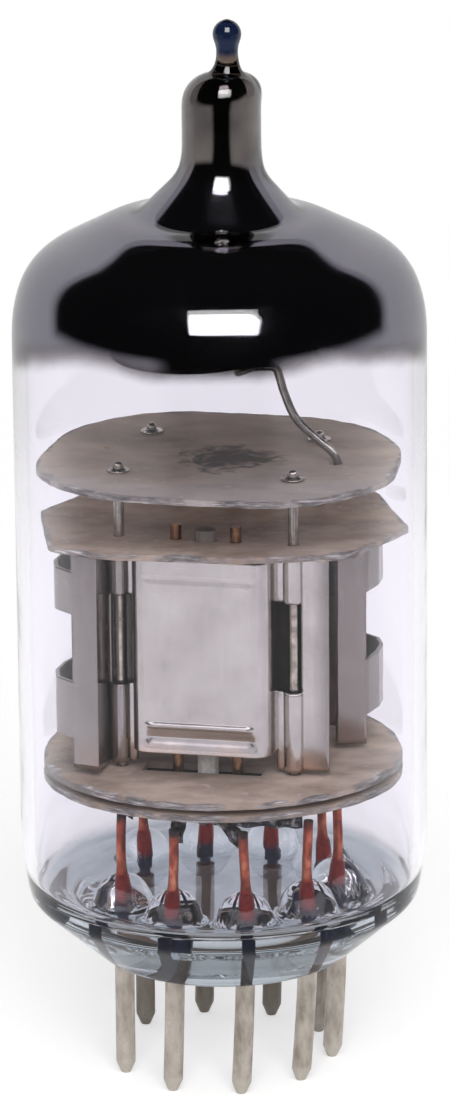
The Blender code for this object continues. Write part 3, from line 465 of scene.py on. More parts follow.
across = add(sky, "Math", {0: direction["X"], 1: 0.5, 2: 0.5}, operation="MULTIPLY_ADD")
strips = add(sky, "ValToRGB", {"Fac": across}, stops=STRIPS)
forward = add(sky, "MapRange", {"Value": direction["Y"], "From Min": 0.25, "From Max": -0.05})
low_down = add(sky, "MapRange", {"Value": direction["Z"], "From Min": 0.7, "From Max": 0.4})
before = add(sky, "Math", {0: forward, 1: low_down}, operation="MULTIPLY")
striped = add(sky, "Mix", {0: before, 2: studio, 3: strips})

over = add(sky, "MapRange", {"Value": direction["Z"], "From Min": 0.42, "From Max": 0.5})
under = add(sky, "MapRange", {"Value": direction["Z"], "From Min": 0.84, "From Max": 0.76})
glint = add(sky, "Math", {0: over, 1: under}, operation="MULTIPLY")
glint = add(sky, "Math", {0: glint, 1: forward}, operation="MULTIPLY")
glint_light = add(sky, "Math", {0: glint, 1: GLINT_LEVEL}, operation="MULTIPLY")
lit = add(sky, "Math", {0: striped, 1: glint_light}, operation="MAXIMUM")
print("strips:", len(STRIPS), "stops from left to right")

# %% [markdown]
# Each ray now gets its own world. A reflected ray that passed three skins of glass or more sees the
# strips, any other reflected ray sees the studio with its lamp, and the camera sees white. The
# light that falls on the pieces comes evenly from all sides.

# %% The world: what each ray sees
within = add(sky, "Math", {0: path["Transmission Depth"], 1: 2.5}, operation="GREATER_THAN")
reflected = add(sky, "Mix", {0: within, 2: with_lamp, 3: lit})
through = add(sky, "Math", {0: path["Is Glossy Ray"], 1: path["Is Transmission Ray"]}, operation="MAXIMUM")
seen = add(sky, "Math", {0: path["Is Camera Ray"], 1: through}, operation="MAXIMUM")
bounced = add(sky, "Math", {0: path["Glossy Depth"], 1: 0.5}, operation="GREATER_THAN")
seen_level = add(sky, "Mix", {0: bounced, 2: 1.0, 3: reflected})
strength = add(sky, "Mix", {0: seen, 2: SKY_LEVEL, 3: seen_level})
light = add(sky, "Background", {"Color": (1.0, 1.0, 1.0, 1.0), "Strength": strength})
add(sky, "OutputWorld", {"Surface": light})
print("world:", len(sky.nodes), "nodes, a studio for shiny surfaces and white for the camera")

# %% [markdown]
# The lamp is a soft rectangle high in front of the tube. Its size and place come from the white
# rectangle that the dome reflects.

# %% The lamp
LAMP_DISTANCE = 450.0 * MM
LAMP_SIZE = (250.0 * MM, 320.0 * MM)
LAMP_POWER = 1.3

lamp_data = bpy.data.lights.new("softbox", "AREA")
lamp_data.shape = "RECTANGLE"
lamp_data.size, lamp_data.size_y = LAMP_SIZE
lamp_data.energy = LAMP_POWER
lamp = bpy.data.objects.new("softbox", lamp_data)
bpy.context.scene.collection.objects.link(lamp)
lamp.matrix_world = (
    Matrix.Translation(CAMERA_TARGET + LAMP_DIRECTION * LAMP_DISTANCE)
    @ LAMP_DIRECTION.to_track_quat("Z", "Y").to_matrix().to_4x4()
)
lamp.visible_camera = False
lamp.visible_transmission = False
print("lamp at", [round(value / MM) for value in lamp.matrix_world.translation], "mm")

# %% [markdown]
# The floor is a matt white card, cut to a plain disc that keeps the tube's shadow and fades out, so
# that its edge never shows against the white background. It glows a little by itself, but not onto
# the pieces, and in front of the tube it is darker where the glass's skin mirrors it.

# %% The floor
FLOOR_RADIUS = 145.0 * MM
FLOOR_FADE = (0.62 * FLOOR_RADIUS, 0.97 * FLOOR_RADIUS)
FLOOR_GLOW = 0.42
FLOOR_DIMMING = 0.75
SKIN_FRONT_Y = 30.0 * MM

floor_finish, tree, shader, output, spot = finish(
    "matt white card", Roughness=0.9, Emission_Color=(1.0, 1.0, 1.0, 1.0),
)
path = add(tree, "LightPath").outputs
own_light = add(tree, "Math", {0: path["Is Diffuse Ray"], 1: -FLOOR_GLOW, 2: FLOOR_GLOW},
                operation="MULTIPLY_ADD")
mirrored = add(tree, "Math", {0: path["Glossy Depth"], 1: 0.5}, operation="GREATER_THAN")
on_glass = add(tree, "Math", {0: path["Transmission Depth"], 1: 2.5}, operation="LESS_THAN")
off_skin = add(tree, "Math", {0: mirrored, 1: on_glass}, operation="MULTIPLY")
depth = add(tree, "SeparateXYZ", {"Vector": spot}).outputs["Y"]
before_tube = add(tree, "MapRange", {"Value": depth, "From Min": SKIN_FRONT_Y, "From Max": -SKIN_FRONT_Y},
                  interpolation_type="SMOOTHSTEP")
off_skin = add(tree, "Math", {0: off_skin, 1: before_tube}, operation="MULTIPLY")
faint = add(tree, "Math", {0: off_skin, 1: -FLOOR_DIMMING, 2: 1.0}, operation="MULTIPLY_ADD")
shown_light = add(tree, "Math", {0: own_light, 1: faint}, operation="MULTIPLY")
card = add(tree, "Mix", {0: off_skin, 6: colour("DCDCDC"), 7: colour("757575")}, data_type="RGBA")
plug(shader, Base_Color=card, Emission_Strength=shown_light)
reach = add(tree, "VectorMath", {0: spot}, operation="LENGTH").outputs["Value"]
fade = add(tree, "MapRange", {"Value": reach, "From Min": FLOOR_FADE[0], "From Max": FLOOR_FADE[1]},
           interpolation_type="SMOOTHSTEP")
clear = add(tree, "BsdfTransparent")
mixed = add(tree, "MixShader", {0: fade, 1: shader, 2: clear})
plug(output, Surface=mixed)

floor_points, floor_faces = turned([(0.0, 0.0), (FLOOR_RADIUS / 2.0, 0.0), (FLOOR_RADIUS, 0.0)], 64)
floor_mesh = bpy.data.meshes.new("floor")
flat = [face[::-1] for block in floor_faces for face in block.tolist()]
floor_mesh.from_pydata(floor_points.tolist(), [], flat)
floor_mesh.materials.append(floor_finish)
floor = bpy.data.objects.new("floor", floor_mesh)
bpy.context.scene.collection.objects.link(floor)
print("floor radius in mm:", FLOOR_RADIUS / MM)

# %% [markdown]
# ## The glass
# The real bulb and button are two glasses, melted together at a seal, so the picture shows one wall
# without a gap. The piece is one turned body: an outer skin from the button's underside up to the
# drawn tip, and an inner skin, which is the vacuum's boundary, facing inwards. The inner floor is
# pushed up into a bead round each of the nine wires. The tip leans a little, as it was pulled off
# by hand.

# %% Glass: the outer line
SEAT_Z = low("button_stem")[2]
TIP_Z = high("glass_bulb")[2]
BULB_RADIUS = 10.62 * MM
NIPPLE_RADIUS = 2.02 * MM
NIPPLE_TOP_Z = SEAT_Z + 46.8 * MM
NECK_RADIUS = 0.53 * MM
BALL_RADIUS = 0.77 * MM
GLASS_STEP = 0.2 * MM
# The dome's outer line as (radius, height over the seat) in mm, read off the photograph.
DOME = [
    (10.62, 33.6), (10.55, 34.5), (10.4, 35.25), (10.15, 36.05), (9.8, 36.7), (9.3, 37.3),
    (8.6, 37.83), (7.8, 38.27), (6.9, 38.73), (6.1, 39.14), (5.6, 39.37), (5.1, 39.5),
    (4.6, 39.6), (4.25, 39.69), (3.98, 39.84), (3.75, 40.06), (3.4, 40.43), (3.05, 40.8),
    (2.7, 41.17), (2.42, 41.5), (2.22, 41.85), (2.09, 42.3), (2.03, 42.8), (2.02, 43.2),
]


def outer_outline():
    """The glass's outer skin as (radius, height) points, from the seat's middle to the tip's top."""
    base = rounded([
        (0.0, SEAT_Z, 0.0), (6.5 * MM, SEAT_Z, 0.3 * MM),
        (BULB_RADIUS - 0.4 * MM, SEAT_Z + 3.3 * MM, 0.8 * MM),
        (BULB_RADIUS, SEAT_Z + 6.2 * MM, 3.0 * MM), (BULB_RADIUS, SEAT_Z + 33.0 * MM, 0.0),
    ])
    dome = route(np.array(DOME) * MM + (0.0, SEAT_Z), GLASS_STEP)
    ball_z = TIP_Z - BALL_RADIUS
    angle = np.linspace(-math.acos(NECK_RADIUS / BALL_RADIUS), math.pi / 2.0, 16)
    ball = np.stack((BALL_RADIUS * np.cos(angle), ball_z + BALL_RADIUS * np.sin(angle)), axis=1)
    ball[-1, 0] = 0.0
    nipple = rounded([
        (NIPPLE_RADIUS, NIPPLE_TOP_Z - 2.0 * MM, 0.0), (NIPPLE_RADIUS, NIPPLE_TOP_Z, 1.2 * MM),
        (0.8 * MM, NIPPLE_TOP_Z + 0.05 * MM, 0.25 * MM), (0.56 * MM, NIPPLE_TOP_Z + 0.7 * MM, 0.5 * MM),
        (*ball[0], 0.0),
    ])
    return eased(evenly(np.vstack((base, dome, nipple[:-1], ball)), GLASS_STEP), 3)


outer_line = outer_outline()
print("outer line:", len(outer_line), "points up to", round(outer_line[-1, 1] / MM, 2), "mm")

# %% [markdown]
# The wall is even where the bottle was blown, so there the inner skin is the outer one moved in by
# the wall's thickness. Below, the pressed button has its own line, with a shallow gutter round the
# beads.

# %% Glass: the inner line
WALL = 0.7 * MM
FLOOR_Z = SEAT_Z + 3.5 * MM
INNER_RADIUS = BULB_RADIUS - WALL


def moved_in(line, distance):
    """A line moved to its left, which is towards the axis for a line that runs up the outside."""
    tangent = np.gradient(line, axis=0)
    normal = np.stack((-tangent[:, 1], tangent[:, 0]), axis=1)
    return line + distance * normal / np.linalg.norm(normal, axis=1, keepdims=True)


def inner_outline():
    """The vacuum's boundary: the pressed floor, the outer line moved in, then the bore's closed end."""
    floor_line = rounded([
        (0.0, FLOOR_Z, 0.0), (7.9 * MM, FLOOR_Z, 0.6 * MM), (8.35 * MM, FLOOR_Z + 0.35 * MM, 0.2 * MM),
        (9.0 * MM, FLOOR_Z + 0.2 * MM, 0.3 * MM), (INNER_RADIUS - 0.2 * MM, FLOOR_Z + 0.75 * MM, 0.5 * MM),
        (INNER_RADIUS, SEAT_Z + 6.2 * MM, 2.0 * MM), (INNER_RADIUS, SEAT_Z + 12.0 * MM, 0.0),
    ])
    blown = (outer_line[:, 1] > SEAT_Z + 12.5 * MM) & (outer_line[:, 1] < NIPPLE_TOP_Z - 0.9 * MM)
    wall_line = moved_in(outer_line[blown], WALL)
    bore = wall_line[-1]
    angle = np.linspace(0.0, math.pi / 2.0, 8)[1:]
    end = np.stack((bore[0] * np.cos(angle), bore[1] + 0.7 * bore[0] * np.sin(angle)), axis=1)
    end[-1, 0] = 0.0
    return eased(evenly(np.vstack((floor_line, wall_line, end)), GLASS_STEP), 2)


inner_line = inner_outline()
print("inner line:", len(inner_line), "points")

# %% [markdown]
# The nine pins stand at steps of 36 degrees, with one gap left wide. A bead is a low dome with a
# blunt top. Both skins are turned, and then the beads are pushed up and the nipple leans.

# %% Glass: the beads and the lean
PIN_CIRCLE = 5.945 * MM
PIN_ANGLES = np.radians(-152.0 + 36.0 * np.arange(9))
PIN_PLACES = PIN_CIRCLE * np.stack((np.cos(PIN_ANGLES), np.sin(PIN_ANGLES)), axis=1)
BEAD_RADIUS = 1.55 * MM
BEAD_HEIGHT = 1.65 * MM
GLASS_SIDES = 216
# Each lean is a distance, the height over the seat where it starts and the stretch it takes, in mm.
LEANS = [(0.2, 39.0, 4.0), (0.32, 45.0, 2.6)]


def bead_rise(points):
    """Height of the beads over the floor: H (1 - (d / R)^2.2)^0.6 at distance d from the nearest wire."""
    gap = np.linalg.norm(points[:, None, :2] - PIN_PLACES[None], axis=2).min(axis=1)
    share = np.clip(1.0 - (gap / BEAD_RADIUS) ** 2.2, 0.0, 1.0)
    return BEAD_HEIGHT * share ** 0.6


def leaned(points):
    """Moves points right by two steps, each a lean x (3 s^2 - 2 s^3), s going from 0 to 1 over a height."""
    moved = points.copy()
    for lean, start, stretch in LEANS:
        share = np.clip((points[:, 2] - SEAT_Z - start * MM) / (stretch * MM), 0.0, 1.0)
        moved[:, 0] += lean * MM * share * share * (3.0 - 2.0 * share)
    return moved


def thinned(line):
    """Keeps every fifth point of the straight wall, where the shape doesn't change."""
    straight = (line[:, 1] > SEAT_Z + 10.0 * MM) & (line[:, 1] < SEAT_Z + 32.0 * MM)
    return line[~straight | (np.arange(len(line)) % 5 == 0)]


outer_points, outer_faces = turned(thinned(outer_line), GLASS_SIDES)
inner_points, inner_faces = turned(thinned(inner_line), GLASS_SIDES)
on_floor = inner_points[:, 2] < FLOOR_Z + 0.6 * MM
inner_points[:, 2] += np.where(on_floor, bead_rise(inner_points), 0.0)
glass_body = joined(
    (leaned(outer_points), outer_faces),
    reversed_faces((leaned(inner_points), inner_faces)),
)
print("glass:", len(glass_body[0]), "points")

# %% [markdown]
# ## The glass finish
# It is soda-lime glass, blown and flame-sealed. The bulb's wall is clear with a faint lavender cast,
# while the button is thick and pressed, and reads as grey-blue. Where the tip was drawn off, the
# neck is brown, and the ball is tinted a deep blue as painted shade for the dark surroundings that it
# refracts. Light has to reach the electrodes through the wall without the noise of focused light, so
# shadow and diffuse rays pass through a plain see-through shader, and all others see real refraction.

# %% Glass: the finish
BUTTON_TINT_Z = (10.4 * MM, 9.0 * MM)
NECK_TINT_Z = (52.4 * MM, 53.0 * MM)
TIP_SHADE_Z = (53.5 * MM, 54.0 * MM)
glass_finish, tree, shader, output, spot = finish(
    "blown soda-lime glass", Roughness=0.0, IOR=1.5, Specular_IOR_Level=0.12, Transmission_Weight=1.0,
)
height = add(tree, "SeparateXYZ", {"Vector": spot}).outputs["Z"]
in_button = add(tree, "MapRange", {"Value": height, "From Min": BUTTON_TINT_Z[0],
                                   "From Max": BUTTON_TINT_Z[1]}, interpolation_type="SMOOTHSTEP")
in_neck = add(tree, "MapRange", {"Value": height, "From Min": NECK_TINT_Z[0], "From Max": NECK_TINT_Z[1]})
in_shaded_tip = add(tree, "MapRange", {"Value": height, "From Min": TIP_SHADE_Z[0], "From Max": TIP_SHADE_Z[1]},
             interpolation_type="SMOOTHSTEP")
drawn = add(tree, "Mapping", {"Vector": spot, "Scale": (0.25, 0.25, 2.0)})
streak = add(tree, "TexNoise", {"Vector": drawn, "Scale": 1.0 / (1.2 * MM), "Detail": 4.0})
button_tint = add(tree, "ValToRGB", {"Fac": streak}, stops=[(0.35, "8794A0"), (0.65, "A8B4BE")])
tint = add(tree, "Mix", {0: in_button, 6: colour("F9F7FD"), 7: button_tint}, data_type="RGBA")
tint = add(tree, "Mix", {0: in_neck, 6: tint, 7: colour("6E5F56")}, data_type="RGBA")
# Painted shade: the ball's deep blue stands in for the dark surroundings it refracts.
tint = add(tree, "Mix", {0: in_shaded_tip, 6: tint, 7: colour("17223C")}, data_type="RGBA")
wave = add(tree, "TexNoise", {"Vector": spot, "Scale": 1.0 / (5.0 * MM), "Detail": 2.0})
bump = add(tree, "Bump", {"Height": wave, "Distance": 0.04 * MM, "Strength": 0.35})
plug(shader, Base_Color=tint, Normal=bump)
path = add(tree, "LightPath").outputs
passing = add(tree, "Math", {0: path["Is Shadow Ray"], 1: path["Is Diffuse Ray"]}, operation="MAXIMUM")
window = add(tree, "BsdfTransparent", {"Color": (0.94, 0.94, 0.96, 1.0)})
mixed = add(tree, "MixShader", {0: passing, 1: shader, 2: window})
plug(output, Surface=mixed)

piece("glass_envelope", glass_body, glass_finish, ("glass_bulb", "button_stem"), sharp=80.0)

# %% [markdown]
# ## The getter mirror
# Barium that was flashed from the ring settled on the inside of the dome and the nipple as a film.
# It is thick at the top and thins out to nothing over one or two millimetres, along a wavy line
# that lies higher in front, where it has a broad dip. A film touches the glass, so from outside it
# is seen through glass alone and fills the nipple from edge to edge. The thin shell below therefore
# lies just within the glass's inner skin. Each point stores how far it is above the film's edge,
# and the finish turns that into how much it covers.

# %% Getter mirror: the shell
FILM_GAP = 0.02 * MM
FILM_THICKNESS = 0.02 * MM
FILM_LOW_Z = 36.8 * MM
FILM_SIDES = 160

on_wall = inner_line[inner_line[:, 1] > FILM_LOW_Z]
near_line = moved_in(on_wall, -FILM_GAP - FILM_THICKNESS)
far_line = moved_in(on_wall, -FILM_GAP)
near_line[-1] = (0.0, on_wall[-1, 1] + FILM_GAP + FILM_THICKNESS)
far_line[-1] = (0.0, on_wall[-1, 1] + FILM_GAP)
near_side = turned(near_line, FILM_SIDES)
far_side = reversed_faces(turned(far_line, FILM_SIDES))
film_points, film_faces = joined(near_side, far_side)
rim = np.arange(FILM_SIDES)
across = np.roll(rim, -1)
start = len(near_side[0])
film_faces.append(np.stack((across, rim, rim + start, across + start), axis=1))
film_points = leaned(film_points)
print("film:", len(film_points), "points")

# %% Getter mirror: its edge and finish
FILM_REAR_EDGE = 37.2
FILM_FRONT_RISE = 2.8
FILM_DIP = 1.0
FILM_DIP_ANGLE = -1.64
NIPPLE_SOOT_Z = (47.0 * MM, 48.6 * MM)

angle = np.arctan2(film_points[:, 1], film_points[:, 0])
front = np.clip(-np.sin(angle), 0.0, 1.0)
film_edge = FILM_REAR_EDGE + FILM_FRONT_RISE * front + 0.12 * np.sin(3.0 * angle + 0.6)
film_edge -= FILM_DIP * np.exp(-((angle - FILM_DIP_ANGLE) / 0.5) ** 4)
film_fade = 2.4 - 1.1 * front ** 0.7
film_cover = (film_points[:, 2] / MM - film_edge) / film_fade

mirror_finish, tree, shader, output, spot = finish("flashed barium film", Metallic=1.0, Roughness=0.04)
cover = add(tree, "Attribute", attribute_name="cover").outputs["Fac"]
cloud = add(tree, "TexNoise", {"Vector": spot, "Scale": 1.0 / (2.2 * MM), "Detail": 4.0})
ragged = add(tree, "Math", {0: cloud, 1: 0.3, 2: cover}, operation="MULTIPLY_ADD")
alpha = add(tree, "MapRange", {"Value": ragged, "From Min": 0.2, "From Max": 1.25},
            interpolation_type="SMOOTHSTEP")
# A broad cloud dulls the film in places, as on the real dome.
haze = add(tree, "TexNoise", {"Vector": spot, "Scale": 1.0 / (3.0 * MM), "Detail": 4.0})
dull = add(tree, "ValToRGB", {"Fac": haze}, stops=[(0.35, 0.02), (0.7, 0.07)])
shade = add(tree, "ValToRGB", {"Fac": alpha}, stops=[(0.3, "5E5250"), (0.95, "7F7D85")])
height = add(tree, "SeparateXYZ", {"Vector": spot}).outputs["Z"]
in_nipple = add(tree, "MapRange", {"Value": height, "From Min": NIPPLE_SOOT_Z[0],
                                   "From Max": NIPPLE_SOOT_Z[1]})
sooted = add(tree, "ValToRGB", {"Fac": haze}, stops=[(0.35, "55504E"), (0.65, "7A756F")])
aged = add(tree, "Mix", {0: in_nipple, 6: shade, 7: sooted}, data_type="RGBA")
plug(shader, Alpha=alpha, Roughness=dull, Base_Color=aged)

mirror = piece("getter_mirror", (film_points, film_faces), mirror_finish)
cover_store = mirror.data.attributes.new("cover", "FLOAT", "POINT")
cover_store.data.foreach_set("value", film_cover.astype(np.float32))

# %% [markdown]
# ## The pins and the wires in the glass
# Each pin is nickel-plated wire with a blunt, tapered tip that was worn by sockets. Inside the
# button it is welded to a thinner copper-clad wire, the only kind whose oxide sticks to glass. That
# wire is navy down in the button, dark red in its bead, where the oxide shows, copper-orange above
# it, and nearly black in patches at the top, where the welder's heat reached it.

# %% Pins
PIN_RADIUS = 0.508 * MM
PIN_SIDES = 32
PIN_TOP_Z = SEAT_Z + 0.25 * MM
WORN_TIP_Z = (1.1 * MM, 0.4 * MM)
REAR_SHADE_Y = (1.0 * MM, 4.0 * MM)

pin_finish, tree, shader, output, spot = finish("dull nickel-plated pin wire", Metallic=0.4)
drawn = add(tree, "Mapping", {"Vector": spot, "Scale": (1.0, 1.0, 0.45)})
scuffs = add(tree, "TexNoise", {"Vector": drawn, "Scale": 1.0 / (0.6 * MM), "Detail": 7.0,
                                "Roughness": 0.55})
worn = add(tree, "ValToRGB", {"Fac": scuffs}, stops=[(0.3, "A2978B"), (0.5, "C8BEB3"), (0.72, "DBD3C9")])
height = add(tree, "SeparateXYZ", {"Vector": spot}).outputs["Z"]
at_tip = add(tree, "MapRange", {"Value": height, "From Min": WORN_TIP_Z[0], "From Max": WORN_TIP_Z[1]},
             interpolation_type="SMOOTHSTEP")
in_glass = add(tree, "MapRange", {"Value": height, "From Min": SEAT_Z, "From Max": SEAT_Z + 0.3 * MM},
               interpolation_type="SMOOTHSTEP")
tipped = add(tree, "Mix", {0: at_tip, 6: worn, 7: colour("D9D1C5")}, data_type="RGBA")
glazed = add(tree, "Mix", {0: in_glass, 6: tipped, 7: colour("77777E")}, data_type="RGBA")
# The pins at the back are painted darker, as painted shade for the shaded floor under the tube that they
# reflect.
rearward = add(tree, "SeparateXYZ", {"Vector": spot}).outputs["Y"]
rear_shade = add(tree, "MapRange", {"Value": rearward, "From Min": REAR_SHADE_Y[0], "From Max": REAR_SHADE_Y[1],
                              "To Max": 0.8})
with_rear_shade = add(tree, "Mix", {0: rear_shade, 6: glazed.outputs[2], 7: colour("5E564D")}, data_type="RGBA")
gloss = add(tree, "ValToRGB", {"Fac": scuffs}, stops=[(0.3, 0.42), (0.7, 0.24)])
dents = add(tree, "TexNoise", {"Vector": drawn, "Scale": 1.0 / (0.12 * MM), "Detail": 4.0})
bump = add(tree, "Bump", {"Height": dents, "Distance": 0.008 * MM, "Strength": 0.6})
plug(shader, Base_Color=with_rear_shade, Roughness=gloss, Normal=bump)

# %% Pins: the shape
# A pin is turned, with a cone at its tip. A few were bent a little in use, by up to 0.4 mm at the tip.
# It ends a little way up in the glass, where the thinner lead wire carries on.
pin_profile = evenly(rounded([
    (0.0, 0.0, 0.0), (0.24 * MM, 0.0, 0.08 * MM), (PIN_RADIUS, 0.62 * MM, 0.2 * MM),
    (PIN_RADIUS, PIN_TOP_Z, 0.1 * MM), (0.0, PIN_TOP_Z, 0.0),
], 5), 0.08 * MM)
TIP_BENDS = [
    (0.0, 0.0), (-0.17, -0.1), (-0.26, -0.1), (-0.38, 0.0), (-0.3, 0.05), (-0.3, 0.05), (-0.15, 0.0),
    (-0.12, 0.0), (0.0, 0.05),
]
for number, (place, bend) in enumerate(zip(PIN_PLACES, TIP_BENDS), 1):
    points, faces = turned(pin_profile, PIN_SIDES, place)
    share = np.clip((SEAT_Z - points[:, 2]) / SEAT_Z, 0.0, 1.0)
    points[:, :2] += share[:, None] ** 1.3 * np.array(bend) * MM
    piece(f"nickel_pin_{number}", (points, faces), pin_finish, (f"pin_{number}",))

# %% Leads: the finish
BEAD_RED_Z = (11.35 * MM, 11.05 * MM)
NAVY_Z = (9.9 * MM, 9.5 * MM)
SCORCH_Z = (13.3 * MM, 14.5 * MM)
lead_finish, tree, shader, output, spot = finish("copper-clad lead wire", Metallic=0.85, Roughness=0.26)
drawn = add(tree, "Mapping", {"Vector": spot, "Scale": (1.0, 1.0, 0.5)})
stain = add(tree, "TexNoise", {"Vector": drawn, "Scale": 1.0 / (0.45 * MM), "Detail": 5.0})
bare = add(tree, "ValToRGB", {"Fac": stain}, stops=[(0.35, "6E2E28"), (0.55, "A9553F"), (0.75, "D69274")])
height = add(tree, "SeparateXYZ", {"Vector": spot}).outputs["Z"]
in_bead, in_floor, at_weld = (
    add(tree, "MapRange", {"Value": height, "From Min": start, "From Max": end})
    for start, end in (BEAD_RED_Z, NAVY_Z, SCORCH_Z)
)
oxide = add(tree, "Mix", {0: in_bead, 6: bare, 7: colour("8E1F22")}, data_type="RGBA")
deep = add(tree, "Mix", {0: in_floor, 6: oxide, 7: colour("1B2440")}, data_type="RGBA")
scorch = add(tree, "Math", {0: stain, 1: at_weld}, operation="MULTIPLY")
burnt = add(tree, "ValToRGB", {"Fac": scorch}, stops=[(0.2, 0.0), (0.42, 1.0)])
darkened = add(tree, "Mix", {0: burnt, 6: deep, 7: colour("2C2226")}, data_type="RGBA")
bump = add(tree, "Bump", {"Height": stain, "Distance": 0.02 * MM, "Strength": 0.5})
plug(shader, Base_Color=darkened, Normal=bump)

# %% [markdown]
# A lead sways a little above the floor, as it was straightened by hand, and is thicker in its bead.

# %% Leads: the shape
LEAD_RADIUS = 0.25 * MM
for number, place in enumerate(PIN_PLACES, 1):
    bottom, top = PIN_TOP_Z - 0.02 * MM, high(f"lead_{number}")[2]
    height = np.linspace(bottom, top, 40)
    sway = 0.06 * MM * np.sin((height - FLOOR_Z) / (1.3 * MM) + 2.4 * number) * (height > FLOOR_Z)
    line = np.stack((place[0] + sway, place[1] + 0.5 * sway, height), axis=1)
    swell = LEAD_RADIUS * (1.0 + 0.2 * np.clip((11.6 * MM - height) / (0.5 * MM), 0.0, 1.0))
    part = swept(line, swell, 16, (0.0, 1.0, 0.0))
    piece(f"copper_lead_{number}", part, lead_finish, (f"lead_{number}",))

# %% [markdown]
# ## The mica sheets
# Mica splits into clear leaves, and the tube maker punches discs from it a third of a millimetre
# thick. The punch crushes the edge, so it is ragged and flakes to a pale, glassy rim. The electrodes
# left a grey-brown deposit on the faces. Each sheet is made from its outline, its holes and a field
# of points between them, joined up by a Delaunay triangulation, and warped a little.

# %% Mica: triangulating a punched sheet
RNG = np.random.default_rng(7)


def ragged_line(outline, spacing, amount, seed):
    """A closed outline moved inwards by a sum of sines with random phases, by `amount` at most."""
    line = evenly(np.vstack((outline, outline[:1])), spacing)[:-1]
    rng = np.random.default_rng(seed)
    turn = np.linspace(0.0, 2.0 * math.pi, len(line), endpoint=False)
    waves = np.array([7, 13, 23, 41, 67, 101, 149, 211, 263])
    phase = rng.uniform(0.0, 2.0 * math.pi, len(waves))
    share = rng.uniform(0.4, 1.0, len(waves)) / np.sqrt(np.arange(1, len(waves) + 1))
    wobble = (np.sin(waves[:, None] * turn + phase[:, None]) * share[:, None]).sum(axis=0)
    wobble = (wobble - wobble.min()) / (wobble.max() - wobble.min())
    tangent = np.roll(line, -1, axis=0) - np.roll(line, 1, axis=0)
    inward = np.stack((-tangent[:, 1], tangent[:, 0]), axis=1)
    inward /= np.linalg.norm(inward, axis=1, keepdims=True)
    return line + inward * (amount * wobble ** 2)[:, None]


def inside(points, loop):
    """Whether a point lies inside a loop: a ray to the right crosses an odd number of its edges."""
    x, y = points[:, 0:1], points[:, 1:2]
    x0, y0 = loop[:, 0][None], loop[:, 1][None]
    x1, y1 = np.roll(x0, -1, axis=1), np.roll(y0, -1, axis=1)
    crosses = (y0 > y) != (y1 > y)
    with np.errstate(divide="ignore", invalid="ignore"):
        at = x0 + (y - y0) * (x1 - x0) / (y1 - y0)
    return (crosses & (x < at)).sum(axis=1) % 2 == 1


def punched(outline, holes, spacing):
    """Points and triangles of the flat region inside the outline and outside the holes."""
    loops = [outline, *holes]
    span = np.abs(outline).max()
    ticks = np.arange(-span, span, spacing)
    field = np.stack(np.meshgrid(ticks, ticks), axis=-1).reshape(-1, 2)
    field += RNG.uniform(-0.25, 0.25, field.shape) * spacing
    border = np.vstack(loops)
    clear_of = np.array([np.abs(border - spot).sum(axis=1).min() for spot in field]) > 0.7 * spacing
    keep = inside(field, outline) & clear_of
    for hole in holes:
        keep &= ~inside(field, hole)
    points = np.vstack((*loops, field[keep]))
    edges, start = [], 0
    for loop in loops:
        number = start + np.arange(len(loop))
        edges.append(np.stack((number, np.roll(number, -1)), axis=1))
        start += len(loop)
    places = [Vector(p) for p in (points / MM).tolist()]
    made = delaunay_2d_cdt(places, np.vstack(edges).tolist(), [], 1, 1e-6)
    flat = np.array([tuple(v) for v in made[0]]) * MM
    triangles = np.array(made[2])
    middle = flat[triangles].mean(axis=1)
    solid = inside(middle, outline)
    for hole in holes:
        solid &= ~inside(middle, hole)
    return flat, triangles[solid]


# %% Mica: thickness, warp and piece
MICA_THICKNESS = 0.35 * MM
MICA_RIPPLE = 0.03 * MM
CRUSHED_REACH = 0.9 * MM


def open_edges(triangles):
    """The directed edges that only one triangle uses, which are the sheet's rims."""
    edge = np.vstack((triangles[:, [0, 1]], triangles[:, [1, 2]], triangles[:, [2, 0]]))
    key = np.sort(edge, axis=1)
    _, index, count = np.unique(key, axis=0, return_index=True, return_counts=True)
    return edge[index[count == 1]]


def mica_sheet(name, outline, holes, top, material, warp, seed):
    """A sheet in the turned frame: z = top + warp x a slow wave, with fine ripples at the crushed edge."""
    line = ragged_line(outline, 0.1 * MM, 0.07 * MM, seed)
    flat, triangles = punched(line, holes, 0.3 * MM)
    corner = flat[triangles]
    ab, ac = corner[:, 1] - corner[:, 0], corner[:, 2] - corner[:, 0]
    clockwise = ab[:, 0] * ac[:, 1] - ab[:, 1] * ac[:, 0] < 0.0
    triangles = np.where(clockwise[:, None], triangles[:, ::-1], triangles)
    rim_gap = np.array([np.hypot(*(line - spot).T).min() for spot in flat])
    edge_share = np.clip(1.0 - rim_gap / CRUSHED_REACH, 0.0, 1.0) ** 2
    u, v = flat.T / MM
    slow = np.sin(0.23 * u + 0.3 * seed) * np.cos(0.19 * v + seed)
    fine = np.sin(3.1 * u + 1.7 * v + seed) * np.sin(2.3 * v - 1.9 * u)
    sunk = MICA_RIPPLE * edge_share * (0.5 + 0.5 * fine)
    raised = MICA_RIPPLE * edge_share * (0.5 - 0.5 * fine)
    upper = np.column_stack((flat, top + (warp * slow - sunk)))
    lower = np.column_stack((flat, top - MICA_THICKNESS + warp * slow + raised))
    rim = open_edges(triangles)
    count = len(flat)
    walls = np.stack((rim[:, 1], rim[:, 0], rim[:, 0] + count, rim[:, 1] + count), axis=1)
    points = from_inner(np.vstack((upper, lower)))
    part = (points, [triangles, triangles[:, ::-1] + count, walls])
    made = piece(f"{name}_sheet", part, material, (name,), sharp=50.0)
    store = made.data.attributes.new("rim", "FLOAT", "POINT")
    store.data.foreach_set("value", np.tile(rim_gap / MM, 2).astype(np.float32))
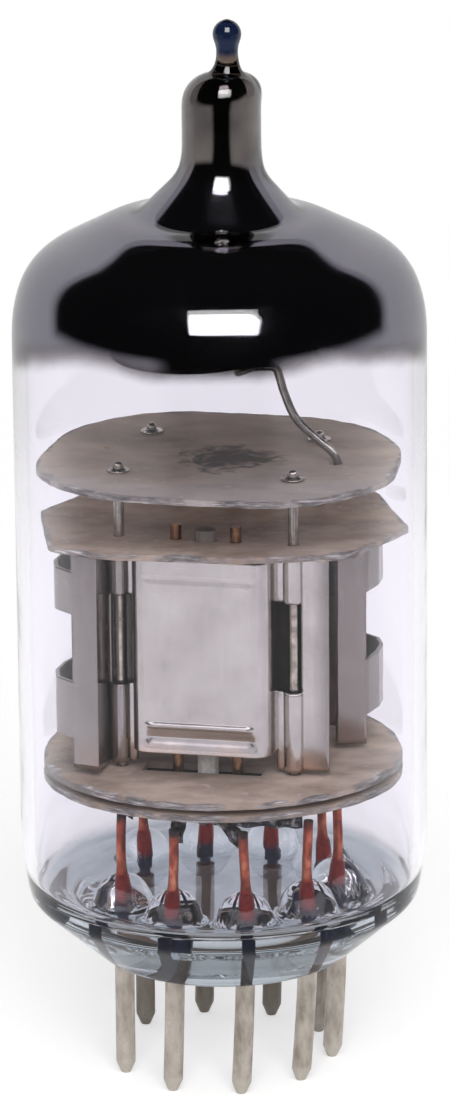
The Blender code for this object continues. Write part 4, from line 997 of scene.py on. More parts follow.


# %% [markdown]
# The shield is grey in front and tan towards the back, partly its own deposit and partly a painted
# reflection of the dark mirror above, and the sheets under it are tan nearly all over. Dust lies on
# the faces. The rim flakes into pale leaves that lie flat, so its pattern is drawn out sideways.

# %% Mica: the faces
# Between these heights lies the gap from the sheets below to the shield.
BELOW_SHIELD_Z, SHIELD_Z = 30.5 * MM, 31.5 * MM
mica_finish, tree, shader, output, spot = finish("punched mica sheet", IOR=1.58, Specular_IOR_Level=0.22)
drawn = add(tree, "Mapping", {"Vector": spot, "Scale": (0.7, 1.2, 1.0)})
streaks = add(tree, "TexNoise", {"Vector": drawn, "Scale": 1.0 / (2.6 * MM), "Detail": 8.0,
                                 "Roughness": 0.58})
grey = add(tree, "ValToRGB", {"Fac": streaks}, stops=[(0.28, "67656A"), (0.5, "89878D"), (0.72, "A7A3A6")])
tan = add(tree, "ValToRGB", {"Fac": streaks}, stops=[(0.28, "836E5B"), (0.5, "B8A08B"), (0.72, "DAC6B3")])
# Tan towards the back: partly the mica's own deposit, partly a painted reflection of the dark mirror above.
depth = add(tree, "SeparateXYZ", {"Vector": spot}).outputs["Y"]
cloud = add(tree, "TexNoise", {"Vector": spot, "Scale": 1.0 / (3.5 * MM), "Detail": 3.0})
wavy = add(tree, "Math", {0: cloud, 1: 8.0 * MM, 2: depth}, operation="MULTIPLY_ADD")
rearward = add(tree, "MapRange", {"Value": wavy, "From Min": -1.5 * MM, "From Max": 4.0 * MM})
level = add(tree, "SeparateXYZ", {"Vector": spot}).outputs["Z"]
under_shield = add(tree, "MapRange", {"Value": level, "From Min": SHIELD_Z, "From Max": BELOW_SHIELD_Z,
                                      "To Max": 0.75})
browned = add(tree, "Math", {0: rearward, 1: under_shield}, operation="MAXIMUM")
deposit_and_reflection = add(tree, "Mix", {0: browned, 6: grey, 7: tan}, data_type="RGBA")
on_shield = add(tree, "MapRange", {"Value": level, "From Min": BELOW_SHIELD_Z, "From Max": SHIELD_Z,
                                   "To Max": 0.28})
face = add(tree, "Mix", {0: on_shield, 6: deposit_and_reflection.outputs[2], 7: colour("FFE9D2")}, data_type="RGBA")
speck = add(tree, "TexNoise", {"Vector": spot, "Scale": 1.0 / (0.5 * MM), "Detail": 5.0})
dust = add(tree, "ValToRGB", {"Fac": speck}, stops=[(0.6, 0.0), (0.72, 0.5)])
dusty = add(tree, "Mix", {0: dust, 6: face, 7: colour("CFC8C8")}, data_type="RGBA")

# %% Mica: the flaked rim
gap = add(tree, "Attribute", attribute_name="rim").outputs["Fac"]
layered = add(tree, "Mapping", {"Vector": spot, "Scale": (0.35, 0.35, 3.0)})
chips = add(tree, "TexNoise", {"Vector": layered, "Scale": 1.0 / (0.4 * MM), "Detail": 7.0,
                               "Roughness": 0.65})
patch = add(tree, "TexNoise", {"Vector": spot, "Scale": 1.0 / (1.6 * MM), "Detail": 3.0})
torn = add(tree, "Math", {0: chips, 1: patch}, operation="MULTIPLY")
ripped = add(tree, "Math", {0: torn, 1: -2.4, 2: gap}, operation="MULTIPLY_ADD")
flaked = add(tree, "MapRange", {"Value": ripped, "From Min": -0.4, "From Max": -0.6})
LEAVES = [(0.4, "4E4A4B"), (0.5, "7F7977"), (0.6, "A8A2A0"), (0.7, "E4DFDE")]
flake = add(tree, "ValToRGB", {"Fac": chips}, stops=LEAVES)
edged = add(tree, "Mix", {0: flaked, 6: dusty, 7: flake}, data_type="RGBA")

# %% [markdown]
# The slots in the upper base sheet look down on the lower sheet, which is painted nearly black and
# matt there as painted shade, because little light gets in.
# Soot from the hot cathodes lies in a cloud round the middle of the shield.

# %% Mica: the painted shade under the slots, and the soot
SLOT_FLOOR_Z = high("mica_base_lower")[2]
SLOT_REACH = 7.0 * MM
SOOT_SPOT = (0.3 * MM, -0.4 * MM, high("mica_shield")[2])
SOOT_RADII = (5.7 * MM, 4.2 * MM)

# Painted shade: the lower sheet is painted nearly black where it shows through the slots.
over_lower = add(tree, "Math", {0: level, 1: SLOT_FLOOR_Z, 2: 0.12 * MM}, operation="COMPARE")
inner_zone = add(tree, "VectorMath", {0: spot, 1: (1.0, 1.0, 0.0)}, operation="MULTIPLY")
from_axis = add(tree, "VectorMath", {0: inner_zone}, operation="LENGTH").outputs["Value"]
inner_part = add(tree, "Math", {0: from_axis, 1: SLOT_REACH}, operation="LESS_THAN")
slot_shade_mask = add(tree, "Math", {0: over_lower, 1: inner_part}, operation="MULTIPLY")
with_slot_shade = add(tree, "Mix", {0: slot_shade_mask, 6: edged, 7: colour("0A0808")}, data_type="RGBA")
sheen = add(tree, "MapRange", {"Value": slot_shade_mask, "To Min": 0.5, "To Max": 1.0})

soot_place = add(tree, "Mapping", {"Vector": spot, "Location": tuple(-v for v in SOOT_SPOT)})
soot_reach = add(tree, "VectorMath", {0: soot_place}, operation="LENGTH").outputs["Value"]
soot_cloud = add(tree, "TexNoise", {"Vector": spot, "Scale": 1.0 / (1.1 * MM), "Detail": 5.0,
                                    "Distortion": 1.2})
soot_edge = add(tree, "Math", {0: soot_cloud, 1: 6.0 * MM, 2: soot_reach}, operation="MULTIPLY_ADD")
soot = add(tree, "MapRange", {"Value": soot_edge, "From Min": SOOT_RADII[0], "From Max": SOOT_RADII[1],
                              "To Max": 0.85})
sooty = add(tree, "Mix", {0: soot, 6: with_slot_shade, 7: colour("3A3634")}, data_type="RGBA")
bump = add(tree, "Bump", {"Height": streaks, "Distance": 0.02 * MM, "Strength": 0.4})
plug(shader, Roughness=sheen, Base_Color=sooty, Normal=bump)
print("mica finish:", len(tree.nodes), "nodes")

# %% [markdown]
# The two base sheets are round and stand close to the glass. The spacer on the anodes has cut-off
# sides, and the shield above it is an oval. All have holes for the posts, and the others follow
# from what passes through.

# %% Mica: the outlines and the holes
TRIODE_OFFSET = 3.75 * MM
POST_SPACING = 4.5 * MM
GRID_SPACING = 1.55 * MM
POST_HOLE = 0.32 * MM
GRID_HOLE = 0.33 * MM
CATHODE_HOLE = 0.6 * MM
WIRE_HOLE = 0.27 * MM
VENT = (6.2 * MM, 1.4 * MM)
BASE_RADIUS = INNER_RADIUS - 0.55 * MM


def ring_of(spot, radius, sides=20):
    """A circle of points round a spot."""
    angle = np.linspace(0.0, 2.0 * math.pi, sides, endpoint=False)
    return np.array(spot) + radius * np.stack((np.cos(angle), np.sin(angle)), axis=1)


def four(u, v):
    """The four mirror images of a spot."""
    return [(u, v), (-u, v), (-u, -v), (u, -v)]


def block(spot, length, width):
    """A rectangle of points round a spot."""
    return np.array(spot) + np.array([(-1, -1), (1, -1), (1, 1), (-1, 1)]) * (length / 2.0, width / 2.0)


post_holes = [ring_of(spot, POST_HOLE) for spot in four(POST_SPACING, TRIODE_OFFSET)]
grid_holes = [ring_of(spot, GRID_HOLE) for spot in four(GRID_SPACING, TRIODE_OFFSET)]
cathode_holes = [ring_of((0.0, side * TRIODE_OFFSET), CATHODE_HOLE) for side in (-1, 1)]
vents = [block((side * 0.2 * MM, side * TRIODE_OFFSET), *VENT) for side in (-1, 1)]
wire_holes = [ring_of((side * 6.0 * MM, side * -0.45 * MM), WIRE_HOLE) for side in (-1, 1)]

disc = ring_of((0.0, 0.0), BASE_RADIUS, 240)
# Half of the spacer's outline as (u, v, radius) corners in mm, the other half being its half turn.
half = [
    (9.7, 0.4, 0.5), (9.7 * math.cos(math.radians(41)), 9.7 * math.sin(math.radians(41)), 1.2),
    (4.5, 7.1, 2.0), (-2.25, 6.7, 3.0),
    (8.95 * math.cos(math.radians(146)), 8.95 * math.sin(math.radians(146)), 0.8),
]
spacer_line = rounded(half + [(-u, -v, radius) for u, v, radius in half], 8) * MM
# The shield's corners lie on one circle, whose radius is in mm as well.
SHIELD_RADIUS = 9.85
angles = np.radians((21, 55, 125, 159, 201, 235, 305, 339))
shield_line = rounded([(SHIELD_RADIUS * math.cos(a), SHIELD_RADIUS * math.sin(a), 6.3) for a in angles], 16)
shield_line = shield_line * MM
print("outlines:", len(disc), len(spacer_line), len(shield_line), "points")

# %% Mica: the four sheets
electrode_holes = post_holes + grid_holes + cathode_holes
for seed, (node, outline, holes, warp) in enumerate((
        ("mica_base_upper", disc, post_holes + vents, 0.04 * MM),
        ("mica_base_lower", disc, electrode_holes, 0.03 * MM),
        ("mica_spacer", spacer_line, electrode_holes, 0.05 * MM),
        ("mica_shield", shield_line, post_holes + wire_holes, 0.05 * MM)), 1):
    mica_sheet(node, outline, holes, high(node)[2], mica_finish, warp, seed)

# %% [markdown]
# ## The anodes
# Each anode is two halves of nickel-plated iron sheet, 0.2 mm thick, pressed to a box round the grid
# and to half a tube over each post. The front of the box carries a raised rib over a shallow
# pressed band near its foot, and a groove near its top. The outer half goes on to the left as a
# cooling fin that folds back on itself through two straps. In plan each half is one bent line, so
# the sheet is that line carried up, with the ribs pressed in by a formula and the windows left out.

# %% Anodes: the bent line and its zones
SHEET = 0.2 * MM
SHEET_OFFSET = 0.13 * MM
TUBE_RADIUS = 0.42 * MM
BOX_HALF_DEPTH = 1.9 * MM
RIB_HALF_LENGTH = 2.6 * MM
PLAN_STEP = 0.14 * MM


def half_circle(u):
    """Half a circle over a post, from its right to its left."""
    angle = np.linspace(0.0, math.pi, 13)
    return np.stack((u + TUBE_RADIUS * np.cos(angle), SHEET_OFFSET + TUBE_RADIUS * np.sin(angle)), axis=1)


def bent(corners):
    """A stretch of the plan from corners in mm with radii, read off at even steps."""
    return evenly(rounded([(u * MM, w * MM, r * MM) for u, w, r in corners], 10), PLAN_STEP)


# The plan runs from right to left, u along the anode and w out of its middle plane, in mm.
box_line = bent([(3.65, 0.13, 0), (3.35, 1.9, 0.75), (-3.35, 1.9, 0.75), (-3.65, 0.13, 0)])
middle = [
    (half_circle(POST_SPACING), "window"), (bent([(4.08, 0.13, 0), (3.65, 0.13, 0)]), "window"),
    (box_line, "box"),
    (bent([(-3.65, 0.13, 0), (-4.08, 0.13, 0)]), "window"), (half_circle(-POST_SPACING), "window"),
]
strap_line = bent([
    (-6.5, 1.72, 0), (-7.5, 0.95, 0.6), (-7.85, -0.1, 0.8), (-7.8, -1.4, 0.8), (-7.4, -2.75, 0),
])
outer_plan = [
    (bent([(6.3, 0.13, 0), (4.92, 0.13, 0)]), "plain"), *middle,
    (bent([(-4.92, 0.13, 0), (-5.1, 0.13, 0.1), (-5.24, 2.1, 0)]), "plain"),
    (bent([(-5.24, 2.1, 0), (-6.5, 1.72, 0)]), "plain"),
    (strap_line, "strap"),
    (bent([(-7.4, -2.75, 0), (-5.88, -3.2, 0)]), "plain"),
]
inner_plan = [
    (bent([(6.1, 0.13, 0), (4.92, 0.13, 0)]), "plain"),
    *[(line, "box" if zone == "box" else "plain") for line, zone in middle],
    (bent([(-4.92, 0.13, 0), (-5.42, 0.13, 0)]), "plain"),
]
inner_plan = [(line * (1.0, -1.0), zone) for line, zone in inner_plan]
print("plans:", len(outer_plan), "and", len(inner_plan), "stretches")

# %% [markdown]
# The heights follow from the anode's CAD box. The wings reach lower than the box, and rows of points
# lie closer where the press left a rib.

# %% Anodes: the heights
WING_Z = low("anode_front_outer")[2]
ANODE_TOP_Z = high("anode_front_outer")[2]
BOX_Z = WING_Z + 1.1 * MM
WINDOW_Z = (BOX_Z + 3.1 * MM, ANODE_TOP_Z - 2.45 * MM)
STRAP_Z = ((BOX_Z + 0.5 * MM, BOX_Z + 3.5 * MM), (ANODE_TOP_Z - 3.2 * MM, ANODE_TOP_Z - 0.95 * MM))
RIB_Z = (BOX_Z + 1.5 * MM, ANODE_TOP_Z - 1.05 * MM)
PANEL_Z = BOX_Z + 1.1 * MM
RIB_HALF_HEIGHT = 0.09 * MM
RIB_DEPTHS = (-0.13 * MM, 0.045 * MM)
RIB_EDGES = (0.2 * MM, 0.22 * MM)
PANEL_DEPTH = 0.18 * MM
RIBBED_LOW_Z = BOX_Z + 2.0 * MM
RIBBED_HIGH_Z = ANODE_TOP_Z - 1.8 * MM

rows = np.unique(np.round(np.concatenate((
    np.linspace(WING_Z, BOX_Z, 5), np.linspace(BOX_Z, RIBBED_LOW_Z, 42),
    np.linspace(RIBBED_LOW_Z, RIBBED_HIGH_Z, 28), np.linspace(RIBBED_HIGH_Z, ANODE_TOP_Z, 26),
    WINDOW_Z, *STRAP_Z,
)), 6))
print("rows:", len(rows), "from", round(WING_Z / MM, 2), "to", round(ANODE_TOP_Z / MM, 2), "mm")

# %% Anodes: pressing the sheet


def hump(x, start, end, soft):
    """1 between start and end, falling to 0 over `soft` on both sides as a smooth step."""
    rise = np.clip((x - start) / soft + 0.5, 0.0, 1.0)
    fall = np.clip((end - x) / soft + 0.5, 0.0, 1.0)
    share = rise * fall
    return share * share * (3.0 - 2.0 * share)


def pressed_in(u, w, z):
    """How far the press moved the box's front inwards: a raised rib, a groove and one broad band."""
    ribs = sum(
        depth * hump(z, at - RIB_HALF_HEIGHT, at + RIB_HALF_HEIGHT, soft)
        for at, depth, soft in zip(RIB_Z, RIB_DEPTHS, RIB_EDGES)
    )
    ribs = ribs * hump(u, -RIB_HALF_LENGTH, RIB_HALF_LENGTH, 0.3 * MM)
    panel = hump(z, BOX_Z + 0.5 * MM, PANEL_Z, 0.6 * MM) * hump(u, -2.7 * MM, 2.8 * MM, 0.5 * MM)
    return np.where(w > 0.9 * BOX_HALF_DEPTH, ribs + PANEL_DEPTH * panel, 0.0)


def sheet_part(plan, pressed, turn):
    """point(i, j) = plan point i at row height j, moved in by the press; cells with no metal are left out.

    The faces look to the outside of the anode, so those of the inner half are turned over.
    """
    zones = np.concatenate([np.full(len(line) - 1, zone) for line, zone in plan])
    line = np.vstack([line if i == 0 else line[1:] for i, (line, _) in enumerate(plan)])
    u, w = (np.repeat(column[:, None], len(rows), axis=1) for column in line.T)
    z = np.repeat(rows[None], len(line), axis=0)
    if pressed:
        w = w - pressed_in(u, w, z)
    v = -(TRIODE_OFFSET + w)
    points = from_inner(np.stack((u * turn, v * turn, z), axis=-1).reshape(-1, 3))
    faces = cells(len(line), len(rows), closed=False)
    zone = np.repeat(zones, len(rows) - 1)
    middle_z = np.tile((rows[:-1] + rows[1:]) / 2.0, len(zones))
    in_window = (middle_z > WINDOW_Z[0]) & (middle_z < WINDOW_Z[1])
    in_strap = np.any([(middle_z > a) & (middle_z < b) for a, b in STRAP_Z], axis=0)
    keep = (
        (zone == "plain") | ((zone == "window") & ~in_window) | ((zone == "strap") & in_strap)
        | ((zone == "box") & (middle_z > BOX_Z))
    )
    faces = faces[keep] if pressed else faces[keep][:, ::-1]
    used = np.unique(faces)
    renumber = np.zeros(len(points), int)
    renumber[used] = np.arange(len(used))
    return points[used], [renumber[faces]]


# %% [markdown]
# The sheet is nickel-plated, bright and a little wavy, with fine rolling marks that run up it. Its
# foot is painted copper-toned, a painted reflection of the copper below it. The wings and the fin,
# out at the sides, are painted darker and duller than the box between them, as painted shade.
# Inside, the sheet is painted nearly black as painted shade, and the rear anode is a darker copy.

# %% Anodes: the finish
COPPER_REFLECTION_Z = (20.4 * MM, 17.2 * MM)
WING_X = (4.5 * MM, 5.2 * MM)


def sheet_finish(name, tones, reflected_copper):
    """Pressed nickel sheet with cloudy tones, rolling marks, a painted copper reflection towards the bottom
    and painted shade at the sides.
    """
    material, tree, shader, _, spot = finish(name, Metallic=1.0)
    cloud = add(tree, "TexNoise", {"Vector": spot, "Scale": 1.0 / (2.5 * MM), "Detail": 5.0})
    tone = add(tree, "ValToRGB", {"Fac": cloud}, stops=[(0.3, tones[0]), (0.7, tones[1])])
    height = add(tree, "SeparateXYZ", {"Vector": spot}).outputs["Z"]
    # Painted reflection: the sheet turns copper-toned towards its foot.
    foot = add(tree, "MapRange", {"Value": height, "From Min": COPPER_REFLECTION_Z[0], "From Max": COPPER_REFLECTION_Z[1]})
    copper_reflection = add(tree, "Math", {0: foot, 1: cloud}, operation="MULTIPLY")
    share = add(tree, "ValToRGB", {"Fac": copper_reflection}, stops=[(0.2, 0.0), (0.6, 0.8)])
    with_copper_reflection = add(tree, "Mix", {0: share, 6: tone, 7: colour(reflected_copper)}, data_type="RGBA")
    # Painted shade: out at the sides the wings and fin are painted darker and duller.
    place = add(tree, "SeparateXYZ", {"Vector": spot}).outputs["X"]
    sideways = add(tree, "Math", {0: place}, operation="ABSOLUTE")
    outwards = add(tree, "MapRange", {"Value": sideways, "From Min": WING_X[0], "From Max": WING_X[1],
                                      "To Max": 0.7})
    shaded_at_sides = add(tree, "Mix", {0: outwards, 6: with_copper_reflection.outputs[2], 7: colour("857F7D")}, data_type="RGBA")
    rolled = add(tree, "Mapping", {"Vector": spot, "Scale": (1.0, 1.0, 0.06)})
    marks = add(tree, "TexNoise", {"Vector": rolled, "Scale": 1.0 / (0.2 * MM), "Detail": 3.0})
    gloss = add(tree, "ValToRGB", {"Fac": marks}, stops=[(0.3, 0.12), (0.7, 0.22)])
    fine = add(tree, "Bump", {"Height": marks, "Distance": 0.0015 * MM, "Strength": 0.4})
    upright = add(tree, "Mapping", {"Vector": spot, "Scale": (1.0, 1.0, 0.35)})
    flex = add(tree, "TexNoise", {"Vector": upright, "Scale": 1.0 / (1.6 * MM), "Detail": 1.0})
    bump = add(tree, "Bump", {"Height": flex, "Distance": 0.05 * MM, "Strength": 1.0, "Normal": fine})
    plug(shader, Base_Color=shaded_at_sides, Roughness=gloss, Normal=bump)
    return material


bright_sheet = sheet_finish("bright nickel-plated sheet", ("B9B4B0", "CCC8C4"), "DDB294")
# The rear anode gets a darker copy of the same sheet, as painted shade.
shaded_rear_sheet = sheet_finish("nickel-plated sheet with painted shade", ("857E7A", "A9A29D"), "C4906E")
# The inside faces are painted nearly black, as painted shade inside the box.
shaded_inner_sheet = sheet_finish("sheet inside with painted shade", ("100E0E", "242121"), "382A24")
print("three sheets: bright, duller and dark")

# %% Anodes: the four halves
for side, turn in (("front", 1.0), ("rear", -1.0)):
    for half_name, plan, pressed in (("outer", outer_plan, True), ("inner", inner_plan, False)):
        node = f"anode_{side}_{half_name}"
        sheet = piece(f"{node}_sheet", sheet_part(plan, pressed, turn),
                      bright_sheet if side == "front" else shaded_rear_sheet, (node,), sharp=60.0)
        wall = sheet.modifiers.new("sheet thickness", "SOLIDIFY")
        wall.thickness = SHEET
        wall.offset = 0.0
        wall.use_even_offset = True
        sheet.data.materials.append(shaded_inner_sheet)
        wall.material_offset = 1

# %% [markdown]
# ## Posts, collars, grids, cathodes and heaters
# Four nickel rods carry the whole stack. Each is held on the shield by a small turned collar and
# ends in a dome. Drawn wire like theirs is bright, with cloudy patches that are a little duller.

# %% Plain drawn metal


def clouded(name, size, detail, tones, glosses=(), **sockets):
    """Metal whose colour follows a cloud with blobs of a size, and whose roughness does if it has stops."""
    material, tree, shader, _, spot = finish(name, Metallic=1.0, **sockets)
    cloud = add(tree, "TexNoise", {"Vector": spot, "Scale": 1.0 / size, "Detail": detail})
    tone = add(tree, "ValToRGB", {"Fac": cloud}, stops=tones)
    plug(shader, Base_Color=tone)
    if glosses:
        gloss = add(tree, "ValToRGB", {"Fac": cloud}, stops=glosses)
        plug(shader, Roughness=gloss)
    return material


nickel_finish = clouded("bright nickel wire", 0.6 * MM, 4.0, [(0.3, "8E867C"), (0.7, "CDC5BC")],
                        [(0.3, 0.3), (0.7, 0.12)])
print("finish:", nickel_finish.name)

# %% Posts and their collars
corners = {"front_left": (-1, -1), "front_right": (1, -1), "rear_right": (1, 1), "rear_left": (-1, 1)}
POST_RADIUS = 0.27 * MM
for corner, (across, deep) in corners.items():
    spot = from_inner([(across * POST_SPACING, deep * TRIODE_OFFSET, 0.0)])[0, :2]
    bottom, top = low(f"post_{corner}")[2], high(f"post_{corner}")[2]
    profile = rounded([
        (0.0, bottom, 0.0), (POST_RADIUS, bottom, 0.06 * MM), (POST_RADIUS, top, 0.22 * MM),
        (0.0, top, 0.0),
    ], 6)
    rod = turned(profile, 24, spot)
    piece(f"post_rod_{corner}", rod, nickel_finish, (f"post_{corner}",))
    base = low(f"eyelet_{corner}")[2]
    crown = high(f"eyelet_{corner}")[2]
    collar = rounded([
        (0.28 * MM, base, 0.0), (0.62 * MM, base, 0.03 * MM), (0.6 * MM, base + 0.1 * MM, 0.05 * MM),
        (0.44 * MM, base + 0.07 * MM, 0.1 * MM), (0.36 * MM, crown - 0.04 * MM, 0.05 * MM),
        (0.28 * MM, crown, 0.03 * MM),
    ], 5)
    collar = turned(np.vstack((collar, collar[:1])), 24, spot)
    piece(f"eyelet_collar_{corner}", collar, nickel_finish, (f"eyelet_{corner}",))

# %% [markdown]
# A grid is two rods with fine wire wound round both, all copper-coloured. The rods' ends show above
# the spacer and the wire shows in the anode's windows, drawn a little thicker than real so that it
# does. The winding is a helix on a rounded rectangle, written as powers of the sine and cosine.

# %% Grids
grid_finish = clouded("copper grid wire", 0.6 * MM, 4.0, [(0.3, "8A6248"), (0.7, "CFA684")], Roughness=0.22)

GRID_ROD_RADIUS = 0.28 * MM
GRID_WIRE_RADIUS = 0.035 * MM
GRID_PITCH = 0.34 * MM
GRID_HALF_WIDTH = 1.86 * MM
GRID_HALF_DEPTH = 0.76 * MM
for side, offset in (("front", -TRIODE_OFFSET), ("rear", TRIODE_OFFSET)):
    bottom, top = low(f"grid_{side}")[2], high(f"grid_{side}")[2]
    rods = []
    for across in (-GRID_SPACING, GRID_SPACING):
        spot = from_inner([(across, offset, 0.0)])[0, :2]
        profile = [(0.0, bottom), (GRID_ROD_RADIUS, bottom), (GRID_ROD_RADIUS, top), (0.0, top)]
        rods.append(turned(profile, 20, spot))
    turns = (WINDOW_Z[1] - WINDOW_Z[0] + 2.0 * MM) / GRID_PITCH
    angle = np.linspace(0.0, 2.0 * math.pi * turns, int(turns * 28))
    across = GRID_HALF_WIDTH * np.sign(np.cos(angle)) * np.abs(np.cos(angle)) ** 0.55
    deep = GRID_HALF_DEPTH * np.sign(np.sin(angle)) * np.abs(np.sin(angle)) ** 0.8
    rise = WINDOW_Z[0] - 1.0 * MM + GRID_PITCH * angle / (2.0 * math.pi)
    winding = swept(from_inner(np.stack((across, offset + deep, rise), axis=1)), GRID_WIRE_RADIUS, 6)
    piece(f"grid_winding_{side}", joined(*rods, winding), grid_finish, (f"grid_{side}",))

# %% [markdown]
# The cathode sleeves and the heater wires sit inside and keep their CAD shapes. The sleeve's sprayed
# white coat ends where the anode ends, and above that the bare nickel shows.

# %% Cathodes and heaters
oxide_finish, tree, shader, output, spot = finish("sprayed oxide coat", Roughness=0.95)
grit = add(tree, "TexNoise", {"Vector": spot, "Scale": 1.0 / (0.15 * MM), "Detail": 4.0})
tone = add(tree, "ValToRGB", {"Fac": grit}, stops=[(0.3, "CFCBC2"), (0.7, "EDEAE3")])
height = add(tree, "SeparateXYZ", {"Vector": spot}).outputs["Z"]
uncoated = add(tree, "Math", {0: height, 1: ANODE_TOP_Z}, operation="GREATER_THAN")
sleeve = add(tree, "Mix", {0: uncoated, 6: tone, 7: colour("8C857E")}, data_type="RGBA")
bump = add(tree, "Bump", {"Height": grit, "Distance": 0.01 * MM, "Strength": 0.7})
plug(shader, Base_Color=sleeve, Normal=bump)
for node in ("cathode_front", "cathode_rear", "heater_front", "heater_rear"):
    frame["nodes"][node].data.materials.clear()
    frame["nodes"][node].data.materials.append(oxide_finish)
print("coated: two cathodes and two heaters")

# %% [markdown]
# ## The ribbons
# Strips of thin nickel, blackened by the welder, tie the leads to the electrodes. They were cut and
# bent by hand, so they are crumpled and stand off at odd angles. Each is a grid of points along a
# route and across its width, with the crumple as a sum of waves, and then given a thickness.

# %% Ribbons: the finish and the shape
ribbon_finish, tree, shader, output, spot = finish("welded nickel ribbon", Metallic=0.9, Roughness=0.34)
burn = add(tree, "TexNoise", {"Vector": spot, "Scale": 1.0 / (0.35 * MM), "Detail": 5.0})
tone = add(tree, "ValToRGB", {"Fac": burn}, stops=[(0.35, "1A1B1F"), (0.52, "4A4B52"), (0.7, "A09C98")])
bump = add(tree, "Bump", {"Height": burn, "Distance": 0.02 * MM, "Strength": 0.6})
plug(shader, Base_Color=tone, Normal=bump)


def crumpled(points, across, width, seed, crumple=0.08 * MM):
    """point(s, t) = path(s) + t width side + crumple (sin + sin) normal, with t from -1/2 to 1/2."""
    line = route(points, 0.1 * MM)
    tangent = np.gradient(line, axis=0)
    tangent /= np.linalg.norm(tangent, axis=1, keepdims=True)
    side = np.array(across, float) - tangent * (tangent @ np.array(across, float))[:, None]
    side /= np.linalg.norm(side, axis=1, keepdims=True)
    normal = np.cross(side, tangent)
    t = np.linspace(-0.5, 0.5, 9)
    s = np.arange(len(line))[:, None] * 0.1
    wave = np.sin(3.1 * s + 5.0 * t + seed) + 0.6 * np.sin(7.3 * s - 9.0 * t + 2.0 * seed)
    edge = 1.0 + 0.12 * np.sin(5.0 * s + seed)
    sidestep = (t * edge * width)[..., None] * side[:, None]
    rings = line[:, None] + sidestep + (crumple * wave)[..., None] * normal[:, None]
    return rings.reshape(-1, 3), [cells(len(line), len(t), closed=False)]


def lead_top(number):
    """The upper end of a lead, in the tube's frame."""
    return np.array((*PIN_PLACES[number - 1], high(f"lead_{number}")[2]))


# %% [markdown]
# Two ribbons stand upright on their leads. Three lie on edge and run across at one height. The other
# four rise aslant to the far end of their box.

# %% Ribbons: one for each lead
UPRIGHT_RIBBONS = (1, 6)
LEVEL_RIBBONS = (4, 5, 9)
RIBBON_THICKNESS = 0.1 * MM


def ribbon_ends(number):
    """Where a ribbon starts beside its lead, and the far corner of its CAD box."""
    top = lead_top(number)
    box_low, box_high = low(f"ribbon_{number}"), high(f"ribbon_{number}")
    inward = np.array((-top[0], -top[1], 0.0))
    inward /= np.linalg.norm(inward)
    start = top + inward * 0.36 * MM
    far = np.where(np.abs(box_low - start) > np.abs(box_high - start), box_low, box_high)
    return start, far


for number in range(1, 10):
    start, far = ribbon_ends(number)
    top_z = high(f"ribbon_{number}")[2]
    below = np.array((start[0], start[1], low(f"ribbon_{number}")[2]))
    if number in UPRIGHT_RIBBONS:
        points = [below, (below + start) / 2.0 + 0.02 * MM, np.array((start[0], start[1], top_z))]
        across = np.cross(start * (1.0, 1.0, 0.0), (0.0, 0.0, 1.0))
        width = 0.85 * MM
    elif number in LEVEL_RIBBONS:
        z = (low(f"ribbon_{number}")[2] + top_z) / 2.0
        points = [np.array((spot[0], spot[1], z)) for spot in (start, (start + far) / 2.0, far)]
        across = (0.0, 0.0, 1.0)
        width = 0.8 * MM
    else:
        end = np.array((far[0], far[1], top_z))
        points = [below, (below + end) / 2.0, end]
        across = (1.0, 0.0, 0.0)
        width = 0.7 * MM
    strip = piece(f"welded_ribbon_{number}", crumpled(points, across, width, 1.7 * number), ribbon_finish,
                  (f"ribbon_{number}",))
    wall = strip.modifiers.new("ribbon thickness", "SOLIDIFY")
    wall.thickness = RIBBON_THICKNESS
    wall.offset = 0.0

# %% [markdown]
# ## The getter
# A channel of nickel bent into a ring once held the barium, and is sooty from the flash. It hangs
# under the dome on one stiff, brighter wire that stands in the shield. The ring's place comes from
# its CAD box, and the wire follows the same bends as its solid.

# %% Getter: the finishes
getter_finish = clouded("heat-darkened nickel", 0.8 * MM, 4.0, [(0.3, "6E6A67"), (0.7, "B6B0AA")],
                        [(0.3, 0.22), (0.7, 0.1)])
ring_finish = clouded("sooty nickel channel", 0.5 * MM, 5.0, [(0.35, "1E1C1C"), (0.7, "4C4845")],
                      Roughness=0.35)
print("finishes:", getter_finish.name, "and", ring_finish.name)

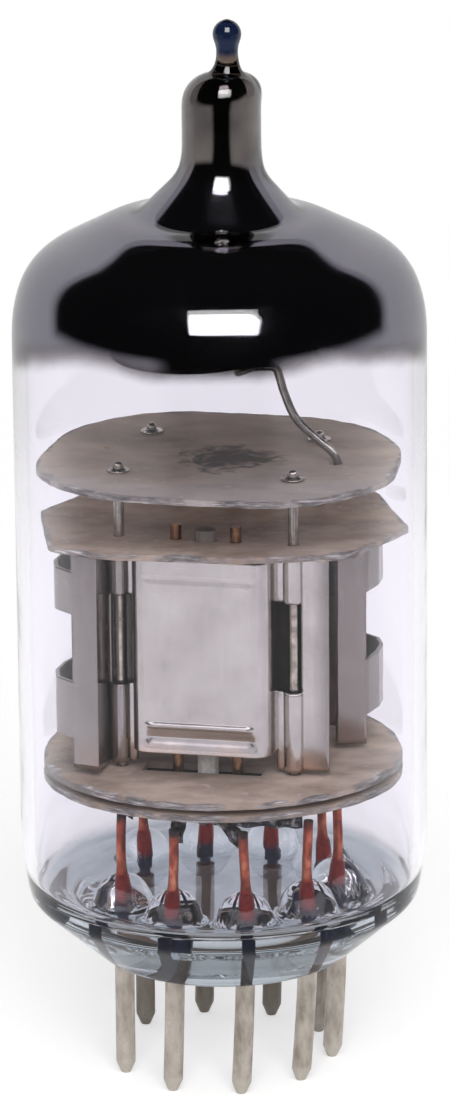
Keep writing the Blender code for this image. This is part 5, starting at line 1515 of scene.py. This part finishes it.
# %% Getter: the ring
CHANNEL_WIDTH = 0.8 * MM
CHANNEL_WALL = 0.12 * MM
CHANNEL_FLOOR = 0.14 * MM

ring_low, ring_high = low("getter_ring"), high("getter_ring")
ring_centre = (ring_low + ring_high)[:2] / 2.0
outer = (ring_high[0] - ring_low[0]) / 2.0
inner = outer - CHANNEL_WIDTH
floor_z, rim_z = ring_low[2], ring_high[2]
channel = rounded([
    (inner, floor_z, 0.12 * MM), (outer, floor_z, 0.12 * MM), (outer, rim_z, 0.05 * MM),
    (outer - CHANNEL_WALL, rim_z, 0.05 * MM), (outer - CHANNEL_WALL, floor_z + CHANNEL_FLOOR, 0.08 * MM),
    (inner + CHANNEL_WALL, floor_z + CHANNEL_FLOOR, 0.08 * MM), (inner + CHANNEL_WALL, rim_z, 0.05 * MM),
    (inner, rim_z, 0.05 * MM),
], 4)
ring_part = turned(np.vstack((channel, channel[:1])), 96, ring_centre)
piece("getter_channel", ring_part, ring_finish, ("getter_ring",))

# %% Getter: the wire
GETTER_WIRE_RADIUS = 0.22 * MM

shield_top = high("mica_shield")[2]
wire_points = [
    (5.96, -1.68, low("getter_wire")[2] / MM), (5.96, -1.68, shield_top / MM + 0.1), (5.62, -1.62, 33.5),
    (4.85, -1.45, 34.15), (3.85, -1.2, 35.15), (3.3, -1.05, 36.4), (3.05, -1.0, 37.2), (2.78, -1.05, 37.75),
]
wire_points = [tuple(value * MM for value in point) for point in wire_points]
# The wire ends in an arc under the ring, which rests on it. The drop is in mm.
rest_radius = outer - CHANNEL_WIDTH / 2.0
under = ring_low[2] - 0.27 * MM
for degrees, drop in ((-18.0, 0.12), (-30.0, 0.0), (-46.0, 0.0)):
    angle = math.radians(degrees)
    wire_points.append((
        ring_centre[0] + rest_radius * math.cos(angle), ring_centre[1] + rest_radius * math.sin(angle),
        under - drop * MM,
    ))
wire_part = swept(route(wire_points, 0.12 * MM), GETTER_WIRE_RADIUS, 20, (0.0, 1.0, 0.0))
piece("getter_support_wire", wire_part, getter_finish, ("getter_wire",))
